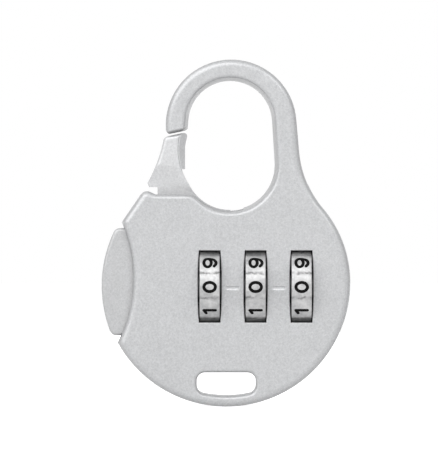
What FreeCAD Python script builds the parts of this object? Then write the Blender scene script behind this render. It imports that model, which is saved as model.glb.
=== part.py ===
import FreeCAD, Part
import math
import os
import re

import Sketcher

# A carabiner-style combination lock for luggage, with three number dials.
# Frame: +Z up through the hook, the front face looks along -Y, +X to the right.
# The origin is under the middle of the object, at its lowest point.

# ---------------------------------------------------------------- driving sizes (mm, degrees)
# A size that starts with = follows another one, as in any cell of the sheet.
SIZES = [
    ("body_radius", 23.2, "radius of the round body"),
    ("body_depth", 14.0, "front face to back face"),
    ("shell_depth", 7.5, "front face to the parting plane, also the depth of the hook"),
    ("front_wall", 1.3, "wall behind the front face"),
    ("side_wall", 1.2, "walls round the edge of both shells"),
    ("back_wall", 1.1, "wall of the back cover"),
    ("cover_overlap", 0.15, "how far the back cover stands out past the front shell"),
    ("outer_round", 1.15, "rounding of the outer front edge"),
    ("corner_round", 1.25, "the front shell's three left-hand corners, seen from the front"),
    ("inner_round", 0.7, "rounding of the hook opening's front edge"),
    ("back_round", 0.9, "rounding of the hook's rear edges"),
    ("cover_round", 1.4, "rounding of the back cover's edge"),
    ("shoulder_radius", "=body_radius - 1.8", "upper right-hand arc of the body"),
    ("neck_radius", 19.0, "hollow arc between body and hook leg"),
    ("leg_lean", 5.0, "angle of the leg's outer edge from the vertical"),
    ("head_x", 0.93, "centre of the hook's outer arc"),
    ("head_height", "=2 * body_radius + 6.35", "centre of the hook's outer arc"),
    ("head_radius", 12.25, "the hook's outer arc"),
    ("eye_top_x", 0.75, "centre of the opening's upper arc"),
    ("eye_top_height", "=2 * body_radius + 6.8", "centre of the opening's upper arc"),
    ("eye_top_radius", 7.86, "the opening's upper arc"),
    ("eye_x", 0.66, "centre of the opening's lower arc"),
    ("eye_height", "=2 * body_radius - 1.1", "centre of the opening's lower arc"),
    ("eye_radius", 8.45, "the opening's lower arc"),
    ("rim_step", 0.65, "how far the opening widens towards the front face"),
    ("rim_depth", 2.8, "depth over which the opening widens"),
    ("hook_end_height", "=2 * body_radius + 4.6", "outer corner of the hook's free end"),
    ("hook_end_slant", 12.0, "rise of the hook's free end towards the opening"),
    ("hook_end_round", 0.7, "rounding of the free end's two corners"),
    ("relief_corner", 2.4, "soft corner of the front wall beside the gate"),
    ("gate_gap", 0.4, "gap between the hook's free end and the gate"),
    ("gate_room", 4.8, "free height behind the ledge for the lever's neck"),
    ("ledge_height", "=2 * body_radius - 6.8", "top edge of the front wall under the gate"),
    ("horn_x", -15.3, "upper left-hand corner of the body"),
    ("horn_height", "=2 * body_radius - 5.73", "upper left-hand corner of the body"),
    ("horn_width", 2.35, "width of the raised corner"),
    ("root_step", 0.65, "how far the hook's root stands out past the body's circle"),
    ("chord_lean", 34.4, "angle of the straight upper left-hand edge from the vertical"),
    ("recess_radius", 27.7, "hollow left-hand edge behind the press pad"),
    ("recess_reach", "=5.77 - body_radius", "deepest point of the hollow edge"),
    ("recess_height", "=body_radius + 0.9", "height of the hollow edge's deepest point"),
    ("pivot_x", "=6.6 - body_radius", "lever pivot"),
    ("pivot_height", "=body_radius - 9.8", "lever pivot"),
    ("pin_radius", 1.0, "lever pin"),
    ("turn_gap", 0.05, "radial clearance of the running fits"),
    ("lever_front", 1.5, "front face to the lever plate"),
    ("lever_back", 7.2, "front face to the back of the lever"),
    ("gate_front", 0.7, "front face to the face of the gate"),
    ("pad_x", 0.43, "centre of the press pad's outer arc"),
    ("pad_height", "=body_radius - 0.62", "centre of the press pad's outer arc"),
    ("pad_radius", "=body_radius + 0.58", "the press pad's outer arc"),
    ("pad_top", "=body_radius + 10.25", "top edge of the press pad"),
    ("pad_bottom", "=body_radius - 9.9", "bottom edge of the press pad"),
    ("pad_corner", 1.3, "rounding of the press pad's outer corners"),
    ("pad_edge", 0.6, "rounding of the press pad's front edge"),
    ("neck_gap", 0.1, "gap between the lever's neck and the raised corner"),
    ("neck_drop", 1.6, "start of the neck below the ledge"),
    ("elbow_x", -13.5, "inner corner of the lever above the spindle"),
    ("elbow_height", "=axis_height + 8.5", "inner corner of the lever above the spindle"),
    ("push_half", 4.5, "half height of the straight edge that pushes the spindle"),
    ("arm_x", -6.17, "where the lever's inner edge meets its arm"),
    ("arm_drop", 7.6, "lever's arm below the centre of the opening's lower arc"),
    ("lever_gap", 0.35, "clearance between lever and shells"),
    ("tail_x", 0.79, "free end of the lever under the opening"),
    ("tail_room", 2.4, "clear length past the lever's free end"),
    ("tail_width", 1.8, "width of the lever under the opening"),
    ("axis_height", "=body_radius - 0.7", "dial axis"),
    ("axis_depth", 5.0, "front face to the dial axis"),
    ("dial_radius", 7.65, "number dial"),
    ("dial_width", 3.8, "number dial"),
    ("dial_edge", 0.2, "bevel of a dial's rim"),
    ("dial_first_x", -3.1, "middle of the left-hand dial"),
    ("dial_pitch", 8.6, "spacing of the dials"),
    ("dial_bore", 3.3, "bore of a dial"),
    ("window_width", 4.43, "width of a window at its middle"),
    ("window_end_width", 4.0, "width of a window at its ends"),
    ("window_half", 6.75, "half height of a window"),
    ("hub_radius", 3.25, "clutch sleeve inside a dial"),
    ("hub_bore", 2.35, "inside of a clutch sleeve"),
    ("hub_left", 3.3, "clutch sleeve, left of the dial's middle"),
    ("hub_groove", 3.1, "start of the sleeve's groove, right of the dial's middle"),
    ("groove_length", 1.0, "groove that the reset fork runs in"),
    ("groove_radius", 2.75, "groove that the reset fork runs in"),
    ("flange_length", 0.5, "flange at the sleeve's right-hand end"),
    ("flange_radius", 3.6, "flange at the sleeve's right-hand end"),
    ("tooth_start", 0.8, "clutch teeth, right of the dial's middle"),
    ("tooth_length", 0.8, "clutch teeth, along the axis"),
    ("tooth_reach", 3.75, "tip of a clutch tooth from the axis"),
    ("tooth_width", 0.9, "clutch tooth, across"),
    ("slide_gap", 0.15, "clearance to the left of a clutch tooth"),
    ("chamber_radius", 3.95, "free space for the teeth inside a dial"),
    ("ring_length", 0.6, "plain bore at a dial's left-hand side"),
    ("notch_depth", 0.14, "grooves between the numbers"),
    ("notch_radius", 2.4, "grooves between the numbers"),
    ("spindle_radius", 1.2, "spindle"),
    ("spindle_bevel", 0.25, "bevels of the spindle's ends"),
    ("fin_reach", 2.2, "tip of a spindle fin from the axis"),
    ("fin_width", 0.8, "spindle fin, across"),
    ("fin_length", 0.65, "spindle fin, along the axis"),
    ("root_overlap", 0.2, "how far joined shapes run into each other"),
    ("fin_gap", 0.15, "spindle fin to the web that blocks it"),
    ("web_length", 0.65, "slotted web of a clutch sleeve"),
    ("web_shift", 0.9, "left face of the web, left of the dial's middle"),
    ("spindle_tip", "=lever_edge + 0.15", "left-hand end of the spindle"),
    ("spindle_past", 1.4, "how far the spindle passes the last dial's middle"),
    ("collar_radius", 1.9, "spindle collar that its spring pushes on"),
    ("collar_shift", 0.5, "spindle tip to the collar"),
    ("collar_length", 0.5, "spindle collar"),
    ("guide_x", -9.2, "left face of the plate that guides the spindle"),
    ("plate_half", 7.5, "half height of the cross plates"),
    ("plate_length", 1.0, "thickness of the cross plates"),
    ("plate_shift", 3.2, "left face of a sleeve plate, left of its dial's middle"),
    ("fork_shift", 3.25, "left face of a fork, right of its dial's middle"),
    ("fork_length", 0.7, "thickness of a fork"),
    ("fork_radius", 3.5, "outer radius of a fork"),
    ("bar_near", 8.0, "front face to the yoke's bar"),
    ("bar_far", 9.2, "front face to the back of the yoke's bar"),
    ("bar_low", 7.65, "underside of the yoke's bar, above the dial axis"),
    ("bar_high", 8.9, "top of the yoke's bar, above the dial axis"),
    ("bar_left", -3.9, "left-hand end of the yoke's bar"),
    ("ear_margin", 0.4, "how far a plate's ear reaches past the yoke's bar"),
    ("tab_x", "=body_radius - 4.25", "left face of the tab that the reset button pushes"),
    ("tab_length", 0.65, "thickness of that tab"),
    ("button_radius", 1.5, "reset button"),
    ("button_flange", 2.0, "flange that keeps the button in"),
    ("button_rim", 0.6, "thickness of that flange"),
    ("button_room", 0.85, "left face of that flange to the side wall"),
    ("button_sink", 0.25, "how far the button lies below the body's edge"),
    ("reset_travel", 1.0, "travel of the reset button"),
    ("slot_top", 6.42, "strap slot, upper edge"),
    ("slot_bottom", 1.93, "strap slot, lower edge at its middle"),
    ("slot_half", 5.55, "strap slot, half width"),
    ("slot_corner", 1.6, "strap slot, corner radius"),
    ("slot_round", 0.6, "rounding of the slot's edges"),
    ("foot_height", 7.7, "top of the solid foot around the slot"),
    ("wire_radius", 0.2, "wire of the spindle's spring"),
    ("coil_radius", 1.6, "coil of the spindle's spring"),
    ("lever_wire", 0.125, "wire of the lever's spring"),
    ("lever_coil", 1.35, "coil of the lever's spring"),
    ("lever_coil_back", 2.65, "length of the lever's coil"),
    ("lever_leg", 6.1, "long leg of the lever's spring"),
    ("lever_foot", 1.95, "short leg of the lever's spring"),
    ("peg_x", "=pivot_x + 0.75", "peg on the lever's back"),
    ("peg_height", "=pivot_height + 5.4", "peg on the lever's back"),
    ("peg_radius", 0.45, "peg on the lever's back"),
    ("peg_length", 1.8, "peg on the lever's back"),
    ("reset_wire", 0.1, "wire of the yoke's spring"),
    ("reset_coil", 0.5, "coil of the yoke's spring"),
    ("leaf_thickness", 0.25, "click spring"),
    ("leaf_width", 2.4, "finger of the click spring"),
    ("leaf_foot", "=axis_height - 13.3", "lower edge of the click spring"),
    ("leaf_top", "=axis_height - 8.5", "upper face of the fingers"),
    ("leaf_left", -5.0, "left-hand end of the click spring"),
    ("leaf_right", 16.0, "right-hand end of the click spring"),
    ("leaf_front", 4.7, "front face to the tips of the fingers"),
    ("nose_radius", 0.45, "bead on a finger's tip"),
    ("gate_round", 0.7, "rounding of the gate's left-hand and upper edges"),
    ("lever_edge", "=7.8 - body_radius", "edge of the lever that pushes the spindle"),
    ("lever_eye", 2.2, "lever boss around the pin"),
    ("gate_left", -11.65, "upper left-hand corner of the gate"),
    ("gate_right", -7.15, "upper right-hand corner of the gate"),
    ("gate_corner", 1.0, "rounding of the gate's upper left-hand corner"),
    ("nose_corner", 0.6, "rounding of the gate's upper right-hand corner"),
    ("nose_x", -7.72, "inner edge of the gate above its step"),
    ("nose_top", "=2 * body_radius + 2.4", "where that edge starts to lean out"),
    ("nose_foot", "=2 * body_radius - 1.9", "height of the step"),
    ("hollow_x", 2.97, "centre of the hollow edge of the gate's face"),
    ("hollow_height", "=2 * body_radius + 1.8", "centre of the hollow edge of the gate's face"),
    ("hollow_radius", 11.9, "hollow edge of the gate's face"),
    ("hollow_narrowing", 1.5, "how much narrower the hollow is behind the face"),
    ("hollow_depth", 2.6, "depth over which it narrows"),
    ("gate_bevel", 0.2, "bevel along the hollow edge"),
    ("heel_x", -14.75, "left-hand corner of the gate above the notch"),
    ("heel_rise", 0.72, "height of that corner above the notch"),
    ("heel_in", 0.28, "lower edge of the gate, right of that corner"),
    ("flank_x", -13.1, "middle of the gate's bowed left-hand edge"),
    ("flank_height", "=2 * body_radius - 1.0", "middle of the gate's bowed left-hand edge"),
    ("gate_ramp", "=body_radius + 9.0", "distance from the pivot at which the gate's face starts to drop"),
    ("gate_clear", "=body_radius + 5.4", "distance from the pivot within which the lever is sunk"),
    ("notch_height", "=2 * body_radius - 5.25", "upper edge of the notch beside the gate"),
    ("pin_seat", 0.6, "depth of the pin's seats"),
    ("screw_head", 1.7, "cover screw head"),
    ("head_sink", 1.0, "depth of a cover screw's head"),
    ("cross_reach", 0.85, "cross recess of a screw, from its middle"),
    ("cross_half", 0.24, "cross recess of a screw, half its width"),
    ("screw_thread", 0.95, "cover screw thread"),
    ("thread_depth", 2.5, "how far a cover screw reaches into the front shell"),
    ("post_radius", 2.3, "post for the upper cover screw"),
    ("low_screw_x", 10.0, "lower cover screws"),
    ("low_screw_height", 5.9, "lower cover screws"),
    ("high_screw_x", 13.2, "upper cover screw"),
    ("high_screw_height", "=2 * body_radius - 9.8", "upper cover screw"),
    ("mark_length", 2.3, "index mark between the dials"),
    ("mark_radius", 0.55, "round bottom of an index mark"),
    ("mark_sink", 0.22, "depth of an index mark"),
    ("mark_height", "=axis_height - 0.38", "height of the index marks"),
    ("window_round", 0.15, "rounding of the window edges"),
    ("face_gap", 0.05, "clearance of faces that nearly touch"),
]

doc = FreeCAD.newDocument("luggage_lock")
sheet = doc.addObject("Spreadsheet::Sheet", "Sizes")
for row, (alias, _, meaning) in enumerate(SIZES, start=1):
    sheet.set(f"A{row}", meaning)
    sheet.setAlias(f"B{row}", alias)
for row, (_, value, _) in enumerate(SIZES, start=1):
    sheet.set(f"B{row}", str(value))
doc.recompute()


class Sizes:
    """The sheet's values as numbers, for outlines that are worked out from them."""

    def __getattr__(self, alias):
        return float(sheet.get(alias))


size = Sizes()
Vector = FreeCAD.Vector
X_AXIS = Vector(1, 0, 0)
Y_AXIS = Vector(0, 1, 0)
Z_AXIS = Vector(0, 0, 1)

# The object's middle in depth lies on Y = 0, with the dials' fronts counted in.
FRONT = "(body_depth - dial_radius + axis_depth) / 2"
front_y = -(size.body_depth - size.dial_radius + size.axis_depth) / 2
axis_y = front_y + size.axis_depth
DIAL_NAMES = ["left", "centre", "right"]
DIGITS = 10
SPINDLE_TURNS = 6
RESET_TURNS = 9
LEVER_TURNS = 5.25
# the number at the front stands this many degrees off straight ahead
DIAL_PHASE = -0.5
# points this close count as one
TOUCH = 0.02
# how far a cut runs out past the body
OVERRUN = 1
# the largest share of a wall that a rounding takes
THIN_EDGE = 0.9
AXIS_BACK = f"axis_depth - {FRONT}"
SCREW_PLACES = [
    ("-low_screw_x", "low_screw_height"),
    ("low_screw_x", "low_screw_height"),
    ("high_screw_x", "high_screw_height"),
]


def bound(text):
    """The same sum with each size's alias looked up in the sheet."""
    return re.sub(r"[a-z][a-z_]+", r"Sizes.\g<0>", text)


def dial_x(index):
    return size.dial_first_x + index * size.dial_pitch


# ---------------------------------------------------------------- plane geometry
def crossing(centre_a, radius_a, centre_b, radius_b, side):
    """Where two circles cross, left (side 1) or right (side -1) of the way from a to b."""
    way = centre_b - centre_a
    along = (radius_a**2 - radius_b**2 + way.Length**2) / (2 * way.Length)
    off = math.sqrt(radius_a**2 - along**2)
    way.normalize()
    return centre_a + way * along + Vector(-way.y, way.x) * off * side


def line_meets_circle(point, way, centre, radius, later):
    """Where a line meets a circle: its first crossing, or the later one."""
    start = point - centre
    middle = -start.dot(way)
    half = math.sqrt(middle**2 - start.dot(start) + radius**2)
    return point + way * (middle + half if later else middle - half)


def at_angle(degrees):
    return Vector(math.cos(math.radians(degrees)), math.sin(math.radians(degrees)))


class Outline:
    """A closed run of lines and arcs in a sketch's own plane."""

    def __init__(self, start):
        self.start = self.here = start
        self.runs = []

    def line(self, point):
        self.runs.append((Part.LineSegment(self.here, point), 1, 2, None))
        self.here = point
        return self

    def lines(self, *points):
        for point in points:
            self.line(Vector(*point))
        return self

    def arc(self, point, centre, clockwise=False, radius=None):
        """An arc about centre; radius is the sum of sizes that drives it."""
        first = math.atan2(self.here.y - centre.y, self.here.x - centre.x)
        last = math.atan2(point.y - centre.y, point.x - centre.x)
        circle = Part.Circle(centre, Z_AXIS, self.here.distanceToPoint(centre))
        if clockwise:
            self.runs.append((Part.ArcOfCircle(circle, last, first), 2, 1, radius))
        else:
            self.runs.append((Part.ArcOfCircle(circle, first, last), 1, 2, radius))
        self.here = point
        return self

    def through(self, middle, point):
        """An arc through a middle point."""
        turn = (middle - self.here).cross(point - middle).z
        centre = Part.Circle(self.here, middle, point).Center
        return self.arc(point, centre, clockwise=turn < 0)

    def corner(self, point, after, radius, middle=None):
        """A line, or an arc through a middle point, up to a rounded corner and round it."""
        back = (self.here - point).normalize()
        if middle:
            out = point - Part.Circle(self.here, middle, point).Center
            square = Vector(-out.y, out.x).normalize()
            back = square * math.copysign(1, square.dot(back))
        ahead = (after - point).normalize()
        half = back.getAngle(ahead) / 2
        centre = point + (back + ahead).normalize() * (radius / math.sin(half))
        reach = radius / math.tan(half)
        turn = back.cross(ahead).z
        if middle:
            self.through(middle, point + back * reach)
        else:
            self.line(point + back * reach)
        return self.arc(point + ahead * reach, centre, clockwise=turn > 0)

    def close(self):
        if self.here.distanceToPoint(self.start) > 1e-6:
            self.line(self.start)
        return self

    def draw(self, sketch):
        self.close()
        for geometry, _, _, _ in self.runs:
            sketch.addGeometry(geometry, False)
        count = len(self.runs)
        for index, (_, _, tail, radius) in enumerate(self.runs):
            after = (index + 1) % count
            head = self.runs[after][1]
            sketch.addConstraint(Sketcher.Constraint("Coincident", index, tail, after, head))
            if radius:
                value = self.runs[index][0].Radius
                name = f"run{index}"
                number = sketch.addConstraint(Sketcher.Constraint("Radius", index, value))
                sketch.renameConstraint(number, name)
                sketch.setExpression(f"Constraints.{name}", bound(radius))


def circle(x, y, radius):
    """Draws a circle whose centre and radius are sums of sizes."""

    def draw(sketch):
        sketch.addGeometry(Part.Circle(Vector(1, 1), Z_AXIS, 1.5), False)
        sketch.addConstraint(Sketcher.Constraint("Radius", 0, 1.5))
        sketch.addConstraint(Sketcher.Constraint("DistanceX", -1, 1, 0, 3, 1.0))
        sketch.addConstraint(Sketcher.Constraint("DistanceY", -1, 1, 0, 3, 1.0))
        for number, (name, total) in enumerate([("radius", radius), ("across", x), ("up", y)]):
            sketch.renameConstraint(number, name)
            sketch.setExpression(f"Constraints.{name}", bound(total))

    return draw


def rectangle(x, y, width, height):
    """Draws a rectangle from its lower left corner."""
    start = Vector(x, y)
    return Outline(start).lines((x + width, y), (x + width, y + height), (x, y + height)).draw


class Piece:
    """One PartDesign body, made of sketches on its own origin planes."""

    def __init__(self, label):
        self.body = doc.addObject("PartDesign::Body", label)
        self.label = label

    def sketch(self, plane, offset, draw, across="0", up="0"):
        """A sketch on a plane moved along its normal, with its origin moved across and up."""
        made = self.body.newObject("Sketcher::SketchObject", f"{self.label}_sketch")
        support = [f for f in self.body.Origin.OriginFeatures if f.Role == plane][0]
        made.AttachmentSupport = [(support, "")]
        made.MapMode = "FlatFace"
        for part, total in (("x", across), ("y", up), ("z", offset)):
            made.setExpression(f"AttachmentOffset.Base.{part}", bound(total))
        draw(made)
        return made

    def grow(self, plane, offset, length, draw, across="0", up="0"):
        """A pad from a plane, along its normal."""
        pad = self.body.newObject("PartDesign::Pad", f"{self.label}_pad")
        pad.Profile = self.sketch(plane, offset, draw, across, up)
        pad.setExpression("Length", bound(length))
        return pad

    def cut(self, plane, offset, length, draw, across="0", up="0"):
        """A pocket from a plane, against its normal, whose loss of volume is checked."""
        doc.recompute()
        before = self.body.Shape.Volume
        pocket = self.body.newObject("PartDesign::Pocket", f"{self.label}_pocket")
        pocket.Profile = self.sketch(plane, offset, draw, across, up)
        pocket.setExpression("Length", bound(length))
        doc.recompute()
        if self.body.Shape.Volume > before - 1e-4:
            raise ValueError(f"a pocket of {self.label} cuts nothing")
        return pocket

    def turn(self, outline):
        """A revolution about the dial axis, from an outline of (x, radius) points."""
        made = self.body.newObject("PartDesign::Revolution", f"{self.label}_turned")
        sketch = self.sketch(
            "XZ_Plane", f"{FRONT} - axis_depth", outline.draw, up="axis_height"
        )
        made.Profile = sketch
        made.ReferenceAxis = (sketch, ["H_Axis"])
        made.Angle = 360.0
        return made


def depth(total):
    """The height above the middle plane, towards the front, of a depth behind the front face."""
    return f"{FRONT} - ({total})"


def edges_at(shape, test):
    """Numbers of the edges whose middle point passes a test."""
    found = []
    for number, edge in enumerate(shape.Edges, start=1):
        middle = edge.valueAt((edge.FirstParameter + edge.LastParameter) / 2)
        if test(middle, edge):
            found.append(number)
    return found


def rounded(base, label, groups):
    """A Part::Fillet over groups of (radius, test on an edge's middle point)."""
    doc.recompute()
    made = doc.addObject("Part::Fillet", label)
    made.Base = base
    picked = {}
    for radius, test in groups:
        numbers = edges_at(base.Shape, test)
        if not numbers:
            raise ValueError(f"{label}: no edge to round")
        for number in numbers:
            picked.setdefault(number, radius)
    made.Edges = [(number, radius, radius) for number, radius in sorted(picked.items())]
    doc.recompute()
    if made.Shape.isNull() or not made.Shape.isValid():
        raise ValueError(f"{label}: the rounding failed")
    return made


def joined(label, shapes):
    made = doc.addObject("Part::MultiFuse", label)
    made.Shapes = shapes
    made.Refine = True
    return made


def carved(label, base, tool):
    made = doc.addObject("Part::Cut", label)
    made.Base = base
    made.Tool = tool
    made.Refine = True
    return made


# ---------------------------------------------------------------- outlines of the body
def shell_points():
    """The circle centres and fixed points that both shells are drawn from."""
    points = {}
    points["middle"] = Vector(0, size.body_radius)
    points["hollow"] = Vector(size.recess_reach - size.recess_radius, size.recess_height)
    points["shoulder"] = Vector(size.body_radius - size.shoulder_radius, size.body_radius)
    points["eye"] = Vector(size.eye_x, size.eye_height)
    points["eye_top"] = Vector(size.eye_top_x, size.eye_top_height)
    points["head"] = Vector(size.head_x, size.head_height)
    points["horn"] = Vector(size.horn_x, size.horn_height)
    # the leg's outer edge leaves the head's arc as a tangent
    leg_top = points["head"] + at_angle(size.leg_lean) * size.head_radius
    down = at_angle(size.leg_lean - 90)
    # the neck's centre is one radius off that edge and touches the shoulder's circle
    beside = leg_top + at_angle(size.leg_lean) * size.neck_radius
    points["neck"] = line_meets_circle(
        beside, down, points["shoulder"], size.shoulder_radius + size.neck_radius, False
    )
    points["leg_top"] = leg_top
    points["leg_foot"] = points["neck"] - at_angle(size.leg_lean) * size.neck_radius
    return points


P = shell_points()
CHORD = at_angle(-90 - size.chord_lean)
CHORD_IN = at_angle(-size.chord_lean)
ROOT_RADIUS = size.body_radius + size.root_step


def soft_centres():
    """Centres of the arcs that round the two ends of the front shell's hollow edge."""
    soft = size.corner_round
    outside = size.recess_radius + soft
    low = crossing(P["middle"], size.body_radius - soft, P["hollow"], outside, 1)
    hip = line_meets_circle(P["horn"] + CHORD_IN * soft, CHORD, P["hollow"], outside, False)
    return low, hip


def round_side(outline, inset, eye_inset):
    """The body's edge from its foot round to the hook's root, then the opening as far as the ledge."""
    near = size.body_radius - inset
    eye_near = size.eye_radius + eye_inset
    toward_neck = (P["neck"] - P["shoulder"]).normalize()
    saddle = P["shoulder"] + toward_neck * (size.shoulder_radius - inset)
    root = crossing(P["middle"], ROOT_RADIUS - inset, P["neck"], size.neck_radius + inset, 1)
    peak = crossing(P["middle"], ROOT_RADIUS - inset, P["eye"], eye_near, -1)
    ledge = size.ledge_height - inset
    reach = math.sqrt(eye_near**2 - (size.eye_height - ledge) ** 2)
    outline.arc(Vector(near, size.body_radius), P["middle"])
    outline.arc(saddle, P["shoulder"])
    outline.arc(root, P["neck"], clockwise=True)
    outline.arc(peak, P["middle"])
    outline.arc(Vector(size.eye_x - reach, ledge), P["eye"], clockwise=True)


def front_outline():
    """The front shell without its hook: raised corner and rounded left-hand corners."""
    soft = size.corner_round
    low, hip = soft_centres()
    outline = Outline(low + (low - P["middle"]).normalize() * soft)
    round_side(outline, 0, 0)
    outline.line(Vector(size.horn_x + size.horn_width, size.ledge_height))
    outline.corner(P["horn"], P["horn"] + CHORD, soft)
    outline.line(hip - CHORD_IN * soft)
    outline.arc(hip + (P["hollow"] - hip).normalize() * soft, hip)
    outline.arc(low + (P["hollow"] - low).normalize() * soft, P["hollow"], clockwise=True)
    return outline.arc(outline.start, low)


def block_outline(inset, floor=None, eye_inset=None):
    """The body with plain corners, drawn inset all round, or by its own inset at the opening."""
    near = size.body_radius - inset
    low = crossing(P["middle"], near, P["hollow"], size.recess_radius + inset, 1)
    edge = P["horn"] + CHORD_IN * inset
    hip = line_meets_circle(edge, CHORD, P["hollow"], size.recess_radius + inset, False)
    ledge_left = edge + CHORD * ((edge.y - size.ledge_height + inset) / -CHORD.y)
    outline = Outline(low)
    if floor is not None:
        half = math.sqrt(near**2 - (size.body_radius - floor) ** 2)
        outline.arc(Vector(-half, floor), P["middle"]).line(Vector(half, floor))
    round_side(outline, inset, inset if eye_inset is None else eye_inset)
    outline.line(ledge_left)
    outline.line(hip)
    return outline.arc(low, P["hollow"], clockwise=True)


def eye_tangent(top_radius, low_radius, side):
    """Angle of the normal where a straight side touches both arcs of the opening."""
    way = P["eye"] - P["eye_top"]
    lean = math.degrees(math.acos((top_radius - low_radius) / way.Length))
    return math.degrees(math.atan2(way.y, way.x)) + side * lean


def root_points():
    """The two ends of the block's edge behind the hook's leg."""
    root = crossing(P["middle"], ROOT_RADIUS, P["neck"], size.neck_radius, 1)
    peak = crossing(P["middle"], ROOT_RADIUS, P["eye"], size.eye_radius, -1)
    return root, peak


def hook_end():
    """The outer and inner corners of the hook's free end, and the start of the inner arc."""
    rise = size.head_height - size.hook_end_height
    outer = Vector(size.head_x - math.sqrt(size.head_radius**2 - rise**2), size.hook_end_height)
    slant = at_angle(size.hook_end_slant)
    side = at_angle(eye_tangent(size.eye_top_radius, size.eye_radius, -1))
    touch = P["eye_top"] + side * size.eye_top_radius
    # the inner edge runs straight down from the arc, square to the side's normal
    inner = outer + slant * ((touch - outer).dot(side) / slant.dot(side))
    return outer, inner, touch


def hook_outline():
    root, peak = root_points()
    outer, inner, touch = hook_end()
    side = at_angle(eye_tangent(size.eye_top_radius, size.eye_radius, 1))
    sunk = (root + peak) / 2 - (root + peak - P["middle"] * 2).normalize() * size.side_wall
    outline = Outline(root)
    outline.arc(P["leg_foot"], P["neck"], clockwise=True, radius="neck_radius")
    outline.line(P["leg_top"])
    outline.arc(outer, P["head"], radius="head_radius")
    outline.line(inner)
    outline.line(touch)
    outline.arc(P["eye_top"] + side * size.eye_top_radius, P["eye_top"], clockwise=True)
    outline.line(P["eye"] + side * size.eye_radius)
    outline.arc(peak, P["eye"], clockwise=True)
    outline.line(sunk)
    return outline


def opening_outline(top_radius, low_radius):
    """The whole hook opening as a closed loop."""
    right = at_angle(eye_tangent(top_radius, low_radius, 1))
    left = at_angle(eye_tangent(top_radius, low_radius, -1))
    outline = Outline(P["eye_top"] + right * top_radius)
    outline.arc(P["eye_top"] + left * top_radius, P["eye_top"])
    outline.line(P["eye"] + left * low_radius)
    outline.arc(P["eye"] + right * low_radius, P["eye"])
    return outline


def slot_outline():
    """The strap slot: its lower edge runs level with the body's own edge."""
    low_radius = size.body_radius - size.slot_bottom
    half = size.slot_half
    soft = size.slot_corner
    lift = math.sqrt((low_radius - soft) ** 2 - (half - soft) ** 2)
    low_right = Vector(half - soft, size.body_radius - lift)
    low_left = Vector(-low_right.x, low_right.y)
    touch = P["middle"] + (low_right - P["middle"]).normalize() * low_radius
    high_right = Vector(half - soft, size.slot_top - soft)
    high_left = Vector(-high_right.x, high_right.y)
    outline = Outline(Vector(-touch.x, touch.y))
    outline.arc(touch, P["middle"])
    outline.arc(low_right + X_AXIS * soft, low_right)
    outline.line(high_right + X_AXIS * soft)
    outline.arc(high_right + Vector(0, soft), high_right)
    outline.line(high_left + Vector(0, soft))
    outline.arc(high_left - X_AXIS * soft, high_left)
    outline.line(low_left - X_AXIS * soft)
    outline.arc(outline.start, low_left)
    return outline


def window_outline(middle_x):
    """A dial window whose long sides bow out a little."""
    top = size.axis_height + size.window_half
    bottom = size.axis_height - size.window_half
    end = size.window_end_width / 2
    bow = size.window_width / 2
    outline = Outline(Vector(middle_x - end, bottom))
    outline.line(Vector(middle_x + end, bottom))
    outline.through(Vector(middle_x + bow, size.axis_height), Vector(middle_x + end, top))
    outline.line(Vector(middle_x - end, top))
    outline.through(Vector(middle_x - bow, size.axis_height), Vector(middle_x - end, bottom))
    return outline


# ---------------------------------------------------------------- front shell
def on_front(point):
    return abs(point.y - front_y) < TOUCH


def on_outer_edge(point):
    """Whether a point of the front face lies on its outer edge, hook included."""
    here = Vector(point.x, point.z)
    rings = [
        (P["middle"], size.body_radius),
        (P["shoulder"], size.shoulder_radius),
        (P["neck"], size.neck_radius),
        (P["head"], size.head_radius),
    ]
    on_ring = any(abs(here.distanceToPoint(c) - r) < TOUCH for c, r in rings)
    on_leg = abs((here - P["leg_top"]).dot(at_angle(size.leg_lean))) < TOUCH
    return on_ring or on_leg


def on_left_edge(point):
    """Whether a point of the front face lies on its left-hand edges or their rounded corners."""
    here = Vector(point.x, point.z)
    on_chord = abs((here - P["horn"]).dot(CHORD_IN)) < TOUCH
    on_hollow = abs(here.distanceToPoint(P["hollow"]) - size.recess_radius) < TOUCH
    at_horn = here.distanceToPoint(P["horn"]) < size.corner_round
    soft = [abs(here.distanceToPoint(c) - size.corner_round) < TOUCH for c in soft_centres()]
    return on_chord or on_hollow or at_horn or any(soft)


def by_window(point):
    """Whether a point of the front face lies on the edge of a dial window."""
    level = abs(point.z - size.axis_height) < size.window_half + TOUCH
    beside = [abs(point.x - dial_x(index)) < size.window_width / 2 + TOUCH for index in range(3)]
    return level and any(beside)


def by_slot(point):
    """Whether a point lies on the edge of the strap slot."""
    beside = abs(point.x) < size.slot_half + TOUCH
    return beside and size.slot_bottom - TOUCH < point.z < size.slot_top + TOUCH


def index_mark(index):
    """A shallow round-bottomed dash halfway between two dials."""
    mark = doc.addObject("Part::Cylinder", "index_mark")
    mark.setExpression("Radius", bound("mark_radius"))
    mark.setExpression("Height", bound("mark_length"))
    middle = (dial_x(index) + dial_x(index + 1)) / 2
    start = Vector(middle - size.mark_length / 2, front_y - size.mark_radius, size.mark_height)
    turned = FreeCAD.Rotation(Y_AXIS, 90)
    mark.Placement = FreeCAD.Placement(start + Y_AXIS * size.mark_sink, turned)
    return mark


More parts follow.
